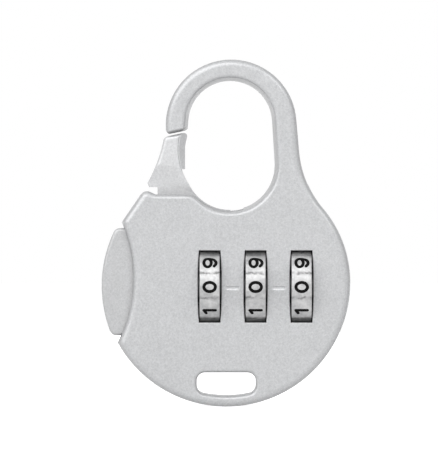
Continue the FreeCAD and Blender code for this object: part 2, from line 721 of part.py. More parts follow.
def make_front_shell():
    hook = Piece("hook_blank")
    hook.grow("XZ_Plane", depth("shell_depth"), "shell_depth", hook_outline().draw)
    back_y = front_y + size.shell_depth

    def hook_rear(point, edge):
        here = Vector(point.x, point.z)
        above = here.distanceToPoint(P["middle"]) > ROOT_RADIUS
        return abs(point.y - back_y) < TOUCH and above

    soft_hook = rounded(hook.body, "hook_rounded", [(size.back_round, hook_rear)])

    block = Piece("body_blank")
    block.grow(
        "XZ_Plane", depth("shell_depth"), "shell_depth", front_outline().draw
    )
    inside = "shell_depth - front_wall"
    cavity = block_outline(size.side_wall, floor=size.foot_height)
    block.cut("XZ_Plane", depth("front_wall"), inside, cavity.draw)
    pad_way = rectangle(
        -size.body_radius - OVERRUN,
        size.pad_bottom - size.lever_gap,
        size.body_radius + OVERRUN + size.recess_reach + 2 * size.side_wall,
        size.pad_top - size.pad_bottom + 2 * size.lever_gap,
    )
    block.cut("XZ_Plane", depth("front_wall"), inside, pad_way)
    eye_way = circle("pivot_x", "pivot_height", "lever_eye + lever_gap")
    block.cut("XZ_Plane", depth("front_wall"), inside, eye_way)
    neck_left = size.horn_x + size.horn_width - size.lever_gap / 2
    gate_way = rectangle(
        neck_left,
        size.ledge_height - size.gate_room,
        size.tail_x + size.tail_room - neck_left,
        size.gate_room + OVERRUN,
    )
    block.cut("XZ_Plane", depth("front_wall"), inside, gate_way)
    block.grow(
        "XZ_Plane",
        depth("shell_depth"),
        inside,
        circle("high_screw_x", "high_screw_height", "post_radius"),
    )
    block.cut("XZ_Plane", depth("0"), "shell_depth", slot_outline().draw)
    for index in range(len(DIAL_NAMES)):
        block.cut("XZ_Plane", depth("0"), "front_wall", window_outline(dial_x(index)).draw)
    for across, up in SCREW_PLACES:
        block.cut(
            "XZ_Plane",
            depth("shell_depth - thread_depth - 2 * face_gap"),
            "thread_depth + 2 * face_gap",
            circle(across, up, "screw_thread + face_gap / 2"),
        )
    block.cut(
        "XZ_Plane",
        depth("front_wall - pin_seat"),
        "pin_seat",
        circle("pivot_x", "pivot_height", "pin_radius + turn_gap"),
    )
    block.cut(
        "YZ_Plane",
        f"body_radius + {OVERRUN}",
        f"2 * side_wall + {OVERRUN}",
        circle("0", "0", "button_radius + 2 * turn_gap"),
        across=AXIS_BACK,
        up="axis_height",
    )
    solid = joined("front_solid", [block.body, soft_hook])

    taper = Piece("opening_taper")
    wide = opening_outline(
        size.eye_top_radius + size.rim_step, size.eye_radius + size.rim_step
    )
    tight = opening_outline(size.eye_top_radius, size.eye_radius)
    front_section = taper.sketch("XZ_Plane", depth("0"), wide.draw)
    deep_section = taper.sketch("XZ_Plane", depth("rim_depth"), tight.draw)
    loft = taper.body.newObject("PartDesign::AdditiveLoft", "taper_loft")
    loft.Profile = front_section
    loft.Sections = [deep_section]
    loft.Ruled = True
    tapered = carved("front_tapered", solid, taper.body)

    end_corners = hook_end()[:2]

    def crosswise(edge):
        reach = abs(edge.Vertexes[0].Point.y - edge.Vertexes[-1].Point.y)
        return reach > THIN_EDGE * size.front_wall

    def ledge_corner(point, edge):
        level = abs(point.z - size.ledge_height) < TOUCH
        return crosswise(edge) and level and point.x > size.gate_left

    def end_corner(point, edge):
        here = Vector(point.x, point.z)
        near = [here.distanceToPoint(corner) < size.rim_step for corner in end_corners]
        return crosswise(edge) and any(near)

    softened = rounded(
        tapered, "corners_rounded",
        [(size.relief_corner, ledge_corner), (size.hook_end_round, end_corner)],
    )
    def on_rim(point, edge):
        return on_front(point) and (on_outer_edge(point) or on_left_edge(point))

    # behind the hollow edge there is only the front wall
    rim_round = min(size.outer_round, THIN_EDGE * size.front_wall)
    front_soft = rounded(
        softened,
        "front_rounded",
        [
            (size.window_round, lambda p, e: on_front(p) and by_window(p)),
            (size.slot_round, lambda p, e: on_front(p) and by_slot(p)),
            (rim_round, on_rim),
            (size.inner_round, lambda p, e: on_front(p)),
        ],
    )
    marks = [index_mark(index) for index in range(len(DIAL_NAMES) - 1)]
    return carved("front_shell", front_soft, joined("index_marks", marks))


# ---------------------------------------------------------------- simple solids
def behind(total):
    """The Y of a depth behind the front face."""
    return f"({total}) - {FRONT}"


AXIS = (behind("axis_depth"), "axis_height")
AROUND_AXIS = {"across": behind("axis_depth"), "up": "axis_height"}


def placed(made, base):
    for part, total in zip("xyz", base):
        made.setExpression(f"Placement.Base.{part}", bound(total))
    return made


def box(label, low, high):
    """A box between two corners, each three sums of sizes."""
    made = doc.addObject("Part::Box", label)
    for name, near, far in zip(("Length", "Width", "Height"), low, high):
        made.setExpression(name, bound(f"({far}) - ({near})"))
    return placed(made, low)


def rod(label, radius, length, base, axis):
    """A cylinder from the middle of its first face."""
    made = doc.addObject("Part::Cylinder", label)
    made.Placement = FreeCAD.Placement(Vector(), FreeCAD.Rotation(Z_AXIS, axis))
    made.setExpression("Radius", bound(radius))
    made.setExpression("Height", bound(length))
    return placed(made, base)


def cone(label, first, last, length, base, axis):
    """A truncated cone from the middle of its first face."""
    made = doc.addObject("Part::Cone", label)
    made.Placement = FreeCAD.Placement(Vector(), FreeCAD.Rotation(Z_AXIS, axis))
    made.setExpression("Radius1", bound(first))
    made.setExpression("Radius2", bound(last))
    made.setExpression("Height", bound(length))
    return placed(made, base)


def coil(label, mean, wire, length, turns, base, axis):
    """A wire wound about an axis; its end sections lie in the two end planes."""
    path = doc.addObject("Part::Helix", f"{label}_path")
    path.setExpression("Radius", bound(mean))
    path.setExpression("Height", bound(length))
    path.setExpression("Pitch", bound(f"({length}) / {turns}"))
    section = doc.addObject("Part::Circle", f"{label}_section")
    section.setExpression("Radius", bound(wire))
    section.setExpression("Placement.Base.x", bound(mean))
    section.Placement.Rotation = FreeCAD.Rotation(Z_AXIS, Y_AXIS)
    doc.recompute()
    sweep = doc.addObject("Part::Sweep", label)
    sweep.Sections = [section]
    sweep.Spine = (path, ["Edge1"])
    sweep.Solid = True
    sweep.Frenet = True
    sweep.Placement = FreeCAD.Placement(Vector(), FreeCAD.Rotation(Z_AXIS, axis))
    return placed(sweep, base)


# ---------------------------------------------------------------- back cover
def make_back_cover():
    blank = Piece("cover_blank")
    deep = "body_depth - shell_depth"
    outer = block_outline(-size.cover_overlap, eye_inset=size.cover_overlap)
    blank.grow("XZ_Plane", depth("body_depth"), deep, outer.draw)
    cavity = block_outline(size.side_wall, floor=size.foot_height)
    blank.cut("XZ_Plane", depth("shell_depth"), f"{deep} - back_wall", cavity.draw)
    blank.grow(
        "XZ_Plane",
        depth("body_depth - back_wall"),
        f"{deep} - back_wall",
        circle("high_screw_x", "high_screw_height", "post_radius"),
    )
    blank.cut("XZ_Plane", depth("shell_depth"), deep, slot_outline().draw)
    for across, up in SCREW_PLACES:
        hole = circle(across, up, "screw_thread + 2 * turn_gap")
        blank.cut("XZ_Plane", depth("shell_depth"), deep, hole)
    blank.cut(
        "XZ_Plane",
        depth("body_depth - back_wall"),
        "pin_seat",
        circle("pivot_x", "pivot_height", "pin_radius + turn_gap"),
    )
    back_y = front_y + size.body_depth

    def on_back(point, edge):
        round_hole = len(edge.Vertexes) == 1
        return abs(point.y - back_y) < TOUCH and not round_hole

    def rim(point, edge):
        return on_back(point, edge) and not by_slot(point)

    def slot_rim(point, edge):
        return on_back(point, edge) and by_slot(point)

    soft = rounded(
        blank.body, "cover_rounded", [(size.cover_round, rim), (size.slot_round, slot_rim)]
    )
    sinks = [
        cone(
            "head_sink_cut", "screw_thread", "screw_head + 2 * turn_gap",
            "head_sink + turn_gap", (across, behind("body_depth - head_sink - turn_gap"), up),
            Y_AXIS,
        )
        for across, up in SCREW_PLACES
    ]
    return carved("back_cover", soft, joined("head_sinks", sinks))


# ---------------------------------------------------------------- screws and lever pin
def make_screw(across, up):
    """A countersunk screw with a cross recess, its head level with the back face."""
    place = "shell_depth - thread_depth"
    shank = rod(
        "screw_shank", "screw_thread", f"body_depth - ({place}) - face_gap",
        (across, behind(place), up), Y_AXIS,
    )
    head = cone(
        "screw_cone", "screw_thread", "screw_head", "head_sink",
        (across, behind("body_depth - head_sink"), up), Y_AXIS,
    )
    bars = []
    for wide, tall in (("cross_reach", "cross_half"), ("cross_half", "cross_reach")):
        near = behind("body_depth - head_sink / 2")
        far = behind("body_depth + head_sink")
        low = (f"{across} - {wide}", near, f"{up} - {tall}")
        high = (f"{across} + {wide}", far, f"{up} + {tall}")
        bars.append(box("cross_bar", low, high))
    return carved("screw", joined("screw_solid", [shank, head]), joined("cross", bars))


def make_pin():
    start = "front_wall - pin_seat + face_gap"
    end = "body_depth - back_wall + pin_seat - face_gap"
    return rod(
        "lever_pin", "pin_radius", f"({end}) - ({start})",
        ("pivot_x", behind(start), "pivot_height"), Y_AXIS,
    )


# ---------------------------------------------------------------- gate lever
def lever_outline():
    """Gate, arm, press pad and pivot eye in one outline, clockwise from the gate's top."""
    outer = hook_end()[0]
    slant = at_angle(size.hook_end_slant)
    edge = outer + Vector(slant.y, -slant.x) * size.gate_gap
    top_left = edge + slant * ((size.gate_left - edge.x) / slant.x)
    top_right = edge + slant * ((size.gate_right - edge.x) / slant.x)
    flank = Vector(size.flank_x, size.flank_height)
    nose = Vector(size.nose_x, size.nose_top)
    hollow = Vector(size.hollow_x, size.hollow_height)
    fall = size.hollow_height - size.nose_foot
    step = Vector(size.hollow_x - math.sqrt(size.hollow_radius**2 - fall**2), size.nose_foot)
    onto_eye = crossing(P["eye"], size.eye_radius, hollow, size.hollow_radius, 1)
    pivot = Vector(size.pivot_x, size.pivot_height)
    tail_low = size.eye_radius + size.tail_width
    off = size.tail_x - size.eye_x
    tail_top = Vector(size.tail_x, size.eye_height - math.sqrt(size.eye_radius**2 - off**2))
    tail_foot = Vector(size.tail_x, size.eye_height - math.sqrt(tail_low**2 - off**2))
    arm = Vector(size.arm_x, size.eye_height - size.arm_drop)
    arm_end = line_meets_circle(arm, X_AXIS, P["eye"], tail_low, False)
    pad = Vector(size.pad_x, size.pad_height)
    inside = size.pad_radius - size.pad_corner
    high = Vector(0, size.pad_top - size.pad_corner)
    high.x = size.pad_x - math.sqrt(inside**2 - (high.y - pad.y) ** 2)
    low = Vector(0, size.pad_bottom + size.pad_corner)
    low.x = size.pad_x - math.sqrt(inside**2 - (low.y - pad.y) ** 2)
    # the arm passes the wall behind the hollow edge with the lever's clearance
    past_wall = size.recess_radius + size.side_wall + size.lever_gap
    rise = size.pad_top - size.recess_height
    arm_top = P["hollow"] + Vector(math.sqrt(past_wall**2 - rise**2), rise)
    outline = Outline((top_left + top_right) / 2)
    outline.corner(top_right, nose, size.nose_corner)
    outline.line(nose)
    outline.line(Vector(size.nose_x, size.nose_foot))
    outline.line(step)
    outline.arc(onto_eye, hollow)
    outline.arc(tail_top, P["eye"])
    outline.line(tail_foot)
    outline.arc(arm_end, P["eye"], clockwise=True)
    outline.line(Vector(size.elbow_x, size.elbow_height))
    outline.line(Vector(size.lever_edge, size.axis_height + size.push_half))
    outline.line(Vector(size.lever_edge, size.axis_height - size.push_half))
    outline.line(pivot + X_AXIS * size.lever_eye)
    outline.arc(pivot - Y_AXIS * size.lever_eye, pivot, clockwise=True)
    outline.arc(pivot - X_AXIS * size.lever_eye, pivot, clockwise=True)
    outline.line(Vector(low.x, size.pad_bottom))
    outline.arc(pad + (low - pad) * (size.pad_radius / inside), low, clockwise=True)
    outline.arc(pad + (high - pad) * (size.pad_radius / inside), pad, clockwise=True)
    outline.arc(high + Y_AXIS * size.pad_corner, high, clockwise=True)
    outline.line(arm_top)
    neck_x = size.horn_x + size.horn_width + size.neck_gap
    outline.line(Vector(neck_x, size.ledge_height - size.neck_drop))
    outline.line(Vector(neck_x, size.notch_height))
    outline.line(Vector(size.heel_x + size.heel_in, size.notch_height))
    outline.line(Vector(size.heel_x, size.notch_height + size.heel_rise))
    outline.corner(top_left, top_right, size.gate_corner, middle=flank)
    return outline


def gate_slope(label, narrowing, deep, wider, foot):
    """A cone about the hollow's centre, cut off below a height, that narrows from the gate's face."""
    funnel = cone(
        f"{label}_cone",
        f"hollow_radius + {wider} + ({narrowing}) * gate_front / ({deep})",
        f"hollow_radius + {wider} - ({narrowing})",
        f"gate_front + {deep}", ("hollow_x", behind("0"), "hollow_height"), Y_AXIS,
    )
    room = box(
        f"{label}_room",
        ("2 * gate_left", behind("0"), foot),
        ("0", behind(f"gate_front + {deep}"), "hollow_height + hollow_radius"),
    )
    made = doc.addObject("Part::MultiCommon", label)
    made.Shapes = [funnel, room]
    return made


def make_gate_lever():
    blank = Piece("lever_blank")
    blank.grow(
        "XZ_Plane", depth("lever_back"), "lever_back - gate_front", lever_outline().draw
    )
    blank.cut(
        "XZ_Plane", depth("gate_front"), "lever_back - gate_front",
        circle("pivot_x", "pivot_height", "pin_radius + turn_gap"),
    )
    ramp = "(gate_ramp - gate_clear) / (lever_front - gate_front)"
    sink = cone(
        "lever_sink", "gate_clear", f"gate_clear + {ramp} * lever_front", "lever_front",
        ("pivot_x", behind("lever_front"), "pivot_height"), -Y_AXIS,
    )
    # the gate's face slopes back into the opening above its step, and has a fine bevel below it
    facet = gate_slope("gate_facet", "hollow_narrowing", "hollow_depth", "0", "nose_foot")
    bevel = gate_slope("gate_bevel", "gate_bevel", "gate_bevel", "gate_bevel", "ledge_height")
    shaped = carved("lever_shaped", blank.body, joined("lever_slopes", [sink, facet, bevel]))
    gate_y = front_y + size.gate_front
    plate_y = front_y + size.lever_front
    pivot = Vector(size.pivot_x, size.pivot_height)

    def gate_edge(point, edge):
        """The gate's left-hand edges and its top, above the ramp."""
        beyond = Vector(point.x, point.z).distanceToPoint(pivot) > size.gate_ramp + size.face_gap
        left = point.x < size.gate_left or point.z > size.hook_end_height - size.gate_corner
        return abs(point.y - gate_y) < TOUCH and beyond and left

    def pad_side(point, edge):
        """The press pad's outer edge with its two corners."""
        outside = point.x < (size.lever_edge - size.body_radius) / 2
        return abs(point.y - plate_y) < TOUCH and outside

    soft = rounded(
        shaped, "lever_rounded", [(size.gate_round, gate_edge), (size.pad_edge, pad_side)]
    )
    tail_sink = box(
        "tail_sink",
        ("-tail_room", behind("0"), "eye_height - eye_radius - 2 * tail_width"),
        ("tail_room", behind("lever_front"), "eye_height - eye_radius + tail_width"),
    )
    peg = rod(
        "lever_peg", "peg_radius", "peg_length",
        ("peg_x", behind("lever_back"), "peg_height"), Y_AXIS,
    )
    return joined("gate_lever", [carved("lever_sunk", soft, tail_sink), peg])


# ---------------------------------------------------------------- dials and clutch sleeves
def turned_outline(points):
    outline = Outline(Vector(*points[0]))
    return outline.lines(*points[1:])


def dial_rim_angle(number):
    """Angle of a groove between two numbers, from straight ahead."""
    return DIAL_PHASE + 360.0 / DIGITS * (number + 0.5)


def repeated(piece, feature, sketch, count):
    """A polar pattern of a feature about its sketch's own normal."""
    pattern = piece.body.newObject("PartDesign::PolarPattern", f"{piece.label}_pattern")
    pattern.Originals = [feature]
    pattern.Axis = (sketch, ["N_Axis"])
    pattern.Angle = 360.0
    pattern.Occurrences = count
    piece.body.Tip = pattern
    doc.recompute()
    return pattern


def make_dial(index):
    middle = dial_x(index)
    label = f"dial_{DIAL_NAMES[index]}"
    half = size.dial_width / 2
    rim = size.dial_radius
    bore = size.dial_bore
    room = size.chamber_radius
    soft = size.dial_edge
    left = middle - half
    right = middle + half
    chamber_left = left + size.ring_length
    chamber_right = middle + size.tooth_start - size.slide_gap
    dial = Piece(label)
    dial.turn(
        turned_outline(
            [
                (left, bore), (left, rim - soft), (left + soft, rim), (right - soft, rim),
                (right, rim - soft), (right, bore), (chamber_right, bore),
                (chamber_right, room), (chamber_left, room), (chamber_left, bore),
            ]
        )
    )
    place = f"dial_first_x + {index} * dial_pitch"
    right_face = f"{place} + dial_width / 2"
    turn = math.radians(dial_rim_angle(0))
    notch_middle = rim + size.notch_radius - size.notch_depth
    notch_at = (f"{-notch_middle * math.cos(turn)}", f"{notch_middle * math.sin(turn)}")
    notch = dial.cut(
        "YZ_Plane", right_face, "dial_width", circle(*notch_at, "notch_radius"), **AROUND_AXIS
    )
    repeated(dial, notch, notch.Profile[0], DIGITS)
    width = size.tooth_width + 2 * size.turn_gap
    low = bore - 4 * size.turn_gap
    tall = size.tooth_reach + 2 * size.turn_gap - low
    groove = dial.cut(
        "YZ_Plane", right_face, "dial_width / 2 - tooth_start + slide_gap + turn_gap",
        rectangle(-width / 2, low, width, tall), **AROUND_AXIS,
    )
    repeated(dial, groove, groove.Profile[0], DIGITS)
    return dial.body


def make_hub(index):
    middle = dial_x(index)
    label = f"hub_{DIAL_NAMES[index]}"
    left = middle - size.hub_left
    groove = middle + size.hub_groove
    flange = groove + size.groove_length
    end = flange + size.flange_length
    web = middle - size.web_shift
    web_end = web + size.web_length
    outer = size.hub_radius
    neck = size.groove_radius
    bore = size.hub_bore
    eye = size.spindle_radius + size.turn_gap
    hub = Piece(f"{label}_blank")
    hub.turn(
        turned_outline(
            [
                (left, bore), (left, outer), (groove, outer), (groove, neck), (flange, neck),
                (flange, size.flange_radius), (end, size.flange_radius), (end, bore),
                (web_end, bore), (web_end, eye), (web, eye), (web, bore),
            ]
        )
    )
    width = size.fin_width + 4 * size.turn_gap
    place = f"dial_first_x + {index} * dial_pitch"
    hub.cut(
        "YZ_Plane", f"{place} - web_shift + web_length", "web_length",
        rectangle(-width / 2, eye / 2, width, bore - eye / 2), **AROUND_AXIS,
    )
    teeth = [
        box(
            f"{label}_tooth",
            (f"{place} + tooth_start", f"{AXIS[0]} - tooth_width / 2", f"axis_height + {low}"),
            (
                f"{place} + tooth_start + tooth_length",
                f"{AXIS[0]} + tooth_width / 2",
                f"axis_height + {high}",
            ),
        )
        for low, high in (
            ("hub_bore + root_overlap", "tooth_reach"),
            ("-tooth_reach", "-hub_bore - root_overlap"),
        )
    ]
    return joined(label, [hub.body, *teeth])


# ---------------------------------------------------------------- spindle and its plates
def make_spindle():
    tip = size.spindle_tip
    end = dial_x(2) + size.spindle_past
    thin = size.spindle_radius
    collar = tip + size.collar_shift
    collar_end = collar + size.collar_length
    soft = size.spindle_bevel
    tip_flat = thin / 2
    blank = Piece("spindle_blank")
    outline = Outline(Vector(end, 0))
    outline.lines(
        (end, thin - soft), (end - soft, thin), (collar_end, thin),
        (collar_end, size.collar_radius), (collar, size.collar_radius), (collar, thin),
        (tip + soft, thin), (tip, tip_flat), (tip, 0),
    )
    blank.turn(outline)
    fins = []
    for index, name in enumerate(DIAL_NAMES):
        right = f"dial_first_x + {index} * dial_pitch - web_shift - fin_gap"
        fins.append(
            box(
                f"fin_{name}",
                (f"{right} - fin_length", f"{AXIS[0]} - fin_width / 2", "axis_height"),
                (right, f"{AXIS[0]} + fin_width / 2", "axis_height + fin_reach"),
            )
        )
    return joined("spindle", [blank.body, *fins])


def cross_plate(label, left, hole):
    """A plate across the inside of both shells with a hole on the dial axis."""
    plate = box(
        f"{label}_sheet",
        (left, behind("front_wall"), "axis_height - plate_half"),
        (f"{left} + plate_length", behind("body_depth - back_wall"), "axis_height + plate_half"),
    )
    hole_cut = rod(f"{label}_hole", hole, "plate_length", (left, *AXIS), X_AXIS)
    return carved(label, plate, hole_cut)


def make_spindle_plate():
    sheet_part = cross_plate("guide_sheet", "guide_x", "spindle_radius + turn_gap")
    ear = box(
        "guide_ear",
        ("guide_x", behind("bar_near - ear_margin"), "axis_height"),
        (
            "guide_x + plate_length",
            behind("bar_far + ear_margin"),
            "axis_height + bar_high + ear_margin",
        ),
    )
    ear_hole = rod(
        "ear_hole", "spindle_radius + turn_gap", "plate_length", ("guide_x", *AXIS), X_AXIS
    )
    return carved("spindle_plate", joined("guide_solid", [sheet_part, ear]), ear_hole)


def make_hub_plates():
    plates = [
        cross_plate(
            f"hub_plate_{name}", f"dial_first_x + {index} * dial_pitch - plate_shift",
            "hub_radius + turn_gap",
        )
        for index, name in enumerate(DIAL_NAMES)
    ]
    return joined("hub_plates", plates)


def make_spindle_spring():
    start = "spindle_tip + collar_shift + collar_length + wire_radius + face_gap"
    end = "guide_x - wire_radius - face_gap"
    return coil(
        "spindle_spring", "coil_radius", "wire_radius", f"{end} - ({start})", SPINDLE_TURNS,
        (start, *AXIS), X_AXIS,
    )


# ---------------------------------------------------------------- resetting parts
def make_fork(index):
    left = f"dial_first_x + {index} * dial_pitch + fork_shift"
    right = f"{left} + fork_length"
    low = "axis_height"
    ring = rod("fork_ring", "fork_radius", "fork_length", (left, *AXIS), X_AXIS)
    arm = box(
        "fork_arm",
        (left, behind("bar_near - ear_margin"), low),
        (right, behind("bar_far"), f"{low} + bar_low + root_overlap"),
    )
    neck = "groove_radius + turn_gap"
    seat = rod("fork_seat", neck, "fork_length", (left, *AXIS), X_AXIS)
    way = box(
        "fork_way",
        (left, f"{AXIS[0]} - {neck}", f"{low} - fork_radius"),
        (right, f"{AXIS[0]} + {neck}", low),
    )
    return carved("fork", joined("fork_solid", [ring, arm]), joined("fork_gap", [seat, way]))


def make_yoke():
    high = "axis_height + bar_high"
    bar = box(
        "yoke_bar",
        ("bar_left", behind("bar_near"), "axis_height + bar_low"),
        ("tab_x + tab_length", behind("bar_far"), high),
    )
    tab = box(
        "yoke_tab",
        ("tab_x", behind("axis_depth - button_radius"), "axis_height - button_radius"),
        ("tab_x + tab_length", behind("bar_far"), high),
    )
    forks = [make_fork(index) for index in range(len(DIAL_NAMES))]
    return joined("reset_yoke", [bar, tab, *forks])


def make_button():
    tip = "tab_x + tab_length + face_gap"
    flange = "body_radius - side_wall - button_room"
    head_end = "body_radius - button_sink"
    stem = rod("button_stem", "button_radius", f"{head_end} - ({tip})", (tip, *AXIS), X_AXIS)
    collar = rod("button_collar", "button_flange", "button_rim", (flange, *AXIS), X_AXIS)
    return joined("reset_button", [stem, collar])


def make_reset_spring():
    start = "guide_x + plate_length + reset_wire + face_gap"
    end = "bar_left - reset_wire - face_gap"
    middle = (behind("(bar_near + bar_far) / 2"), "axis_height + (bar_low + bar_high) / 2")
    return coil(
        "reset_spring", "reset_coil", "reset_wire", f"{end} - ({start})", RESET_TURNS,
        (start, *middle), X_AXIS,
    )


# ---------------------------------------------------------------- other springs
def make_lever_spring():
    start = behind("lever_back + lever_wire + 6 * face_gap")
    back = f"{start} + lever_coil_back"
    winding = coil(
        "lever_winding", "lever_coil", "lever_wire", "lever_coil_back", LEVER_TURNS,
        ("pivot_x", start, "pivot_height"), Y_AXIS,
    )
    leg = rod(
        "lever_leg", "lever_wire", "lever_leg",
        ("pivot_x + lever_coil", start, "pivot_height"), Z_AXIS,
    )
    foot = rod(
        "lever_foot", "lever_wire", "lever_foot",
        ("pivot_x", back, "pivot_height - lever_coil"), -X_AXIS,
    )
    return joined("lever_spring", [winding, leg, foot])


def make_click_spring():
    back = "body_depth - back_wall - face_gap"
    strip = box(
        "leaf_strip",
        ("leaf_left", behind(f"{back} - leaf_thickness"), "leaf_foot"),
        ("leaf_right", behind(back), "leaf_top"),
    )
    fingers = []
    for index in range(len(DIAL_NAMES)):
        middle = f"dial_first_x + {index} * dial_pitch"
        left = f"{middle} - leaf_width / 2"
        fingers.append(
            box(
                "leaf_finger",
                (left, behind("leaf_front"), "leaf_top - leaf_thickness"),
                (f"{middle} + leaf_width / 2", behind(back), "leaf_top"),
            )
        )
        nose_height = "axis_height - dial_radius - face_gap - nose_radius"
        fingers.append(
            rod(
                "leaf_nose", "nose_radius", "leaf_width",
                (left, behind("axis_depth"), nose_height), X_AXIS,
            )
        )
    return joined("click_spring", [strip, *fingers])


# ---------------------------------------------------------------- the assembly
pieces = [make_front_shell(), make_back_cover()]
screws = [make_screw(across, up) for across, up in SCREW_PLACES]
pieces.append(joined("cover_screws", screws))
pieces += [make_pin(), make_lever_spring(), make_gate_lever()]
for number in range(len(DIAL_NAMES)):
    pieces += [make_dial(number), make_hub(number)]
pieces += [make_spindle(), make_spindle_spring(), make_spindle_plate(), make_hub_plates()]
pieces += [make_yoke(), make_reset_spring(), make_button(), make_click_spring()]
doc.recompute()

for made in doc.Objects:
    if {"Invalid", "Error"} & set(made.State):
        raise ValueError(f"{made.Label} did not recompute: {made.State}")
os.makedirs("parts", exist_ok=True)
for piece in pieces:
    if piece.Shape.isNull() or not piece.Shape.isValid():
        raise ValueError(f"{piece.Label} has no valid shape")
    piece.Shape.exportStep(f"parts/{piece.Label}.step")
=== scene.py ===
"""A small silver combination lock for luggage: round die-cast body, fixed hook, swinging gate,
press pad on the left edge and three bright number dials. Metres, +Z up, front face along -Y."""
import math

import bmesh
import bpy
from mathutils import Matrix, Vector


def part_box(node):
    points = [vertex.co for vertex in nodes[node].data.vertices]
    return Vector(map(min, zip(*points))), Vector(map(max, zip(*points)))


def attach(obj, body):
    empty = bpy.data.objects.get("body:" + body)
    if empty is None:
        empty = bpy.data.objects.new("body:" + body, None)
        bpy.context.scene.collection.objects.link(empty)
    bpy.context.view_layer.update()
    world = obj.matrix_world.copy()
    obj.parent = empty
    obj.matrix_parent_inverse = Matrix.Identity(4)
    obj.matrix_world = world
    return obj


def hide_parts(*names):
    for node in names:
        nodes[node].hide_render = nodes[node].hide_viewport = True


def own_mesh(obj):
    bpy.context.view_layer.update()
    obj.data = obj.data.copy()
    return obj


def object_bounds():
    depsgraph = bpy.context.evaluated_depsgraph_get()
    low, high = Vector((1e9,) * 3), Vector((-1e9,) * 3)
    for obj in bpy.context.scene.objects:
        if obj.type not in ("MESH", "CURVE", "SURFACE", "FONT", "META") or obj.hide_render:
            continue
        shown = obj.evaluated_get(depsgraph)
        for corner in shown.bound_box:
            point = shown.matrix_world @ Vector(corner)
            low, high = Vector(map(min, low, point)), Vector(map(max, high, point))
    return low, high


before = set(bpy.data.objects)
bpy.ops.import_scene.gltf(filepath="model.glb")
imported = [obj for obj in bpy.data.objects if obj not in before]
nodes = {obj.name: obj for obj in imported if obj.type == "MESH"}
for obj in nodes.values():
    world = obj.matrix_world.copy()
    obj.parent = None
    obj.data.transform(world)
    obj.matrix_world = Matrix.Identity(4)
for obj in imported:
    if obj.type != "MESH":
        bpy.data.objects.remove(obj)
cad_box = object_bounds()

MM = 0.001
RIGHT = math.radians(90)
SIDES = ("left", "centre", "right")
WHITE = (1.0, 1.0, 1.0, 1.0)
scene = bpy.context.scene

# ---------------------------------------------------------------- places on the lock
shell_low, shell_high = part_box("front_shell")
dial_low, dial_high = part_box("dial_centre")
FRONT = shell_low.y
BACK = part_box("back_cover")[1].y
MIDDLE_HEIGHT = (Vector(cad_box[0]).z + Vector(cad_box[1]).z) / 2
BODY_RADIUS = shell_high.x
AXIS_Y = (dial_low.y + dial_high.y) / 2
AXIS_Z = (dial_low.z + dial_high.z) / 2
DIAL_HALF = (dial_high.x - dial_low.x) / 2
DIAL_MIDDLE = (dial_low.x + dial_high.x) / 2
DIAL_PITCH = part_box("dial_right")[0].x - dial_low.x
# circles of the front view as x, z and radius: the body, the opening, the arc beside the pad
BODY = (0.0, BODY_RADIUS, BODY_RADIUS)
OPENING = (0.66 * MM, 45.3 * MM, 9.3 * MM)
PAD_ARC = (-45.13 * MM, 24.1 * MM, 28.2 * MM)
# the straight upper left edge: its top corner and its lean from the upright
HORN = (-15.3 * MM, 40.67 * MM)
HORN_LEAN = math.radians(34.4)
# the hook's free end: its outer corner, and how its cut rises towards the opening
HOOK_END = (-11.19 * MM, 51.0 * MM)
HOOK_SLANT = math.radians(12)
# the ledge under the gate, and the upper edge of the strap slot
LEDGE_HEIGHT = 38.7 * MM
SLOT_TOP = 7.5 * MM

# the numbers stand a step apart round each dial, and the dials rest a little off a full step
STEP = math.radians(36)
PHASE = math.radians(-0.5)
RELIEF_HEIGHT = 0.012 * MM
DIAL_RADIUS = (dial_high.z - dial_low.z) / 2 - RELIEF_HEIGHT

# ---------------------------------------------------------------- camera
VIEW_WIDTH = 81.95 * MM
VIEW_DISTANCE = 1.35
VIEW_CENTRE = (-1.35 * MM, 33.36 * MM)

camera_data = bpy.data.cameras.new("camera")
camera_data.sensor_fit = "HORIZONTAL"
camera_data.sensor_width = 36.0
camera_data.lens = camera_data.sensor_width * VIEW_DISTANCE / VIEW_WIDTH
camera_data.clip_start = 0.01
camera_data.clip_end = 20.0
camera = bpy.data.objects.new("camera", camera_data)
camera.location = (VIEW_CENTRE[0], FRONT - VIEW_DISTANCE, VIEW_CENTRE[1])
camera.rotation_euler = (RIGHT, 0, 0)
scene.collection.objects.link(camera)
scene.camera = camera


# ---------------------------------------------------------------- node expressions
class Wire:
    """A socket whose arithmetic adds Math nodes to its tree."""

    def __init__(self, tree, socket):
        self.tree = tree
        self.socket = socket

    def maths(self, operation, *values):
        return self.tree.add("Math", {"operation": operation}, *values)

    def __add__(self, other):
        return self.maths("ADD", self, other)

    def __sub__(self, other):
        return self.maths("SUBTRACT", self, other)

    def __rsub__(self, other):
        return self.maths("SUBTRACT", other, self)

    def __mul__(self, other):
        return self.maths("MULTIPLY", self, other)

    def __truediv__(self, other):
        return self.maths("DIVIDE", self, other)

    def __rtruediv__(self, other):
        return self.maths("DIVIDE", other, self)

    def __mod__(self, other):
        return self.maths("FLOORED_MODULO", self, other)

    def __rmod__(self, other):
        return self.maths("FLOORED_MODULO", other, self)

    def __gt__(self, other):
        return self.maths("GREATER_THAN", self, other)

    def __lt__(self, other):
        return self.maths("LESS_THAN", self, other)

    def __neg__(self):
        return self.maths("MULTIPLY", self, -1.0)

    def __abs__(self):
        return self.maths("ABSOLUTE", self)

    __radd__ = __add__
    __rmul__ = __mul__

    def root(self):
        return self.maths("SQRT", self)

    def clamped(self):
        return self.tree.add("Math", {"operation": "ADD", "use_clamp": True}, self, 0.0)

    def soft(self):
        """An eased step of a number that runs from 0 to 1."""
        share = self.clamped()
        return share * share * (3.0 - share * 2.0)


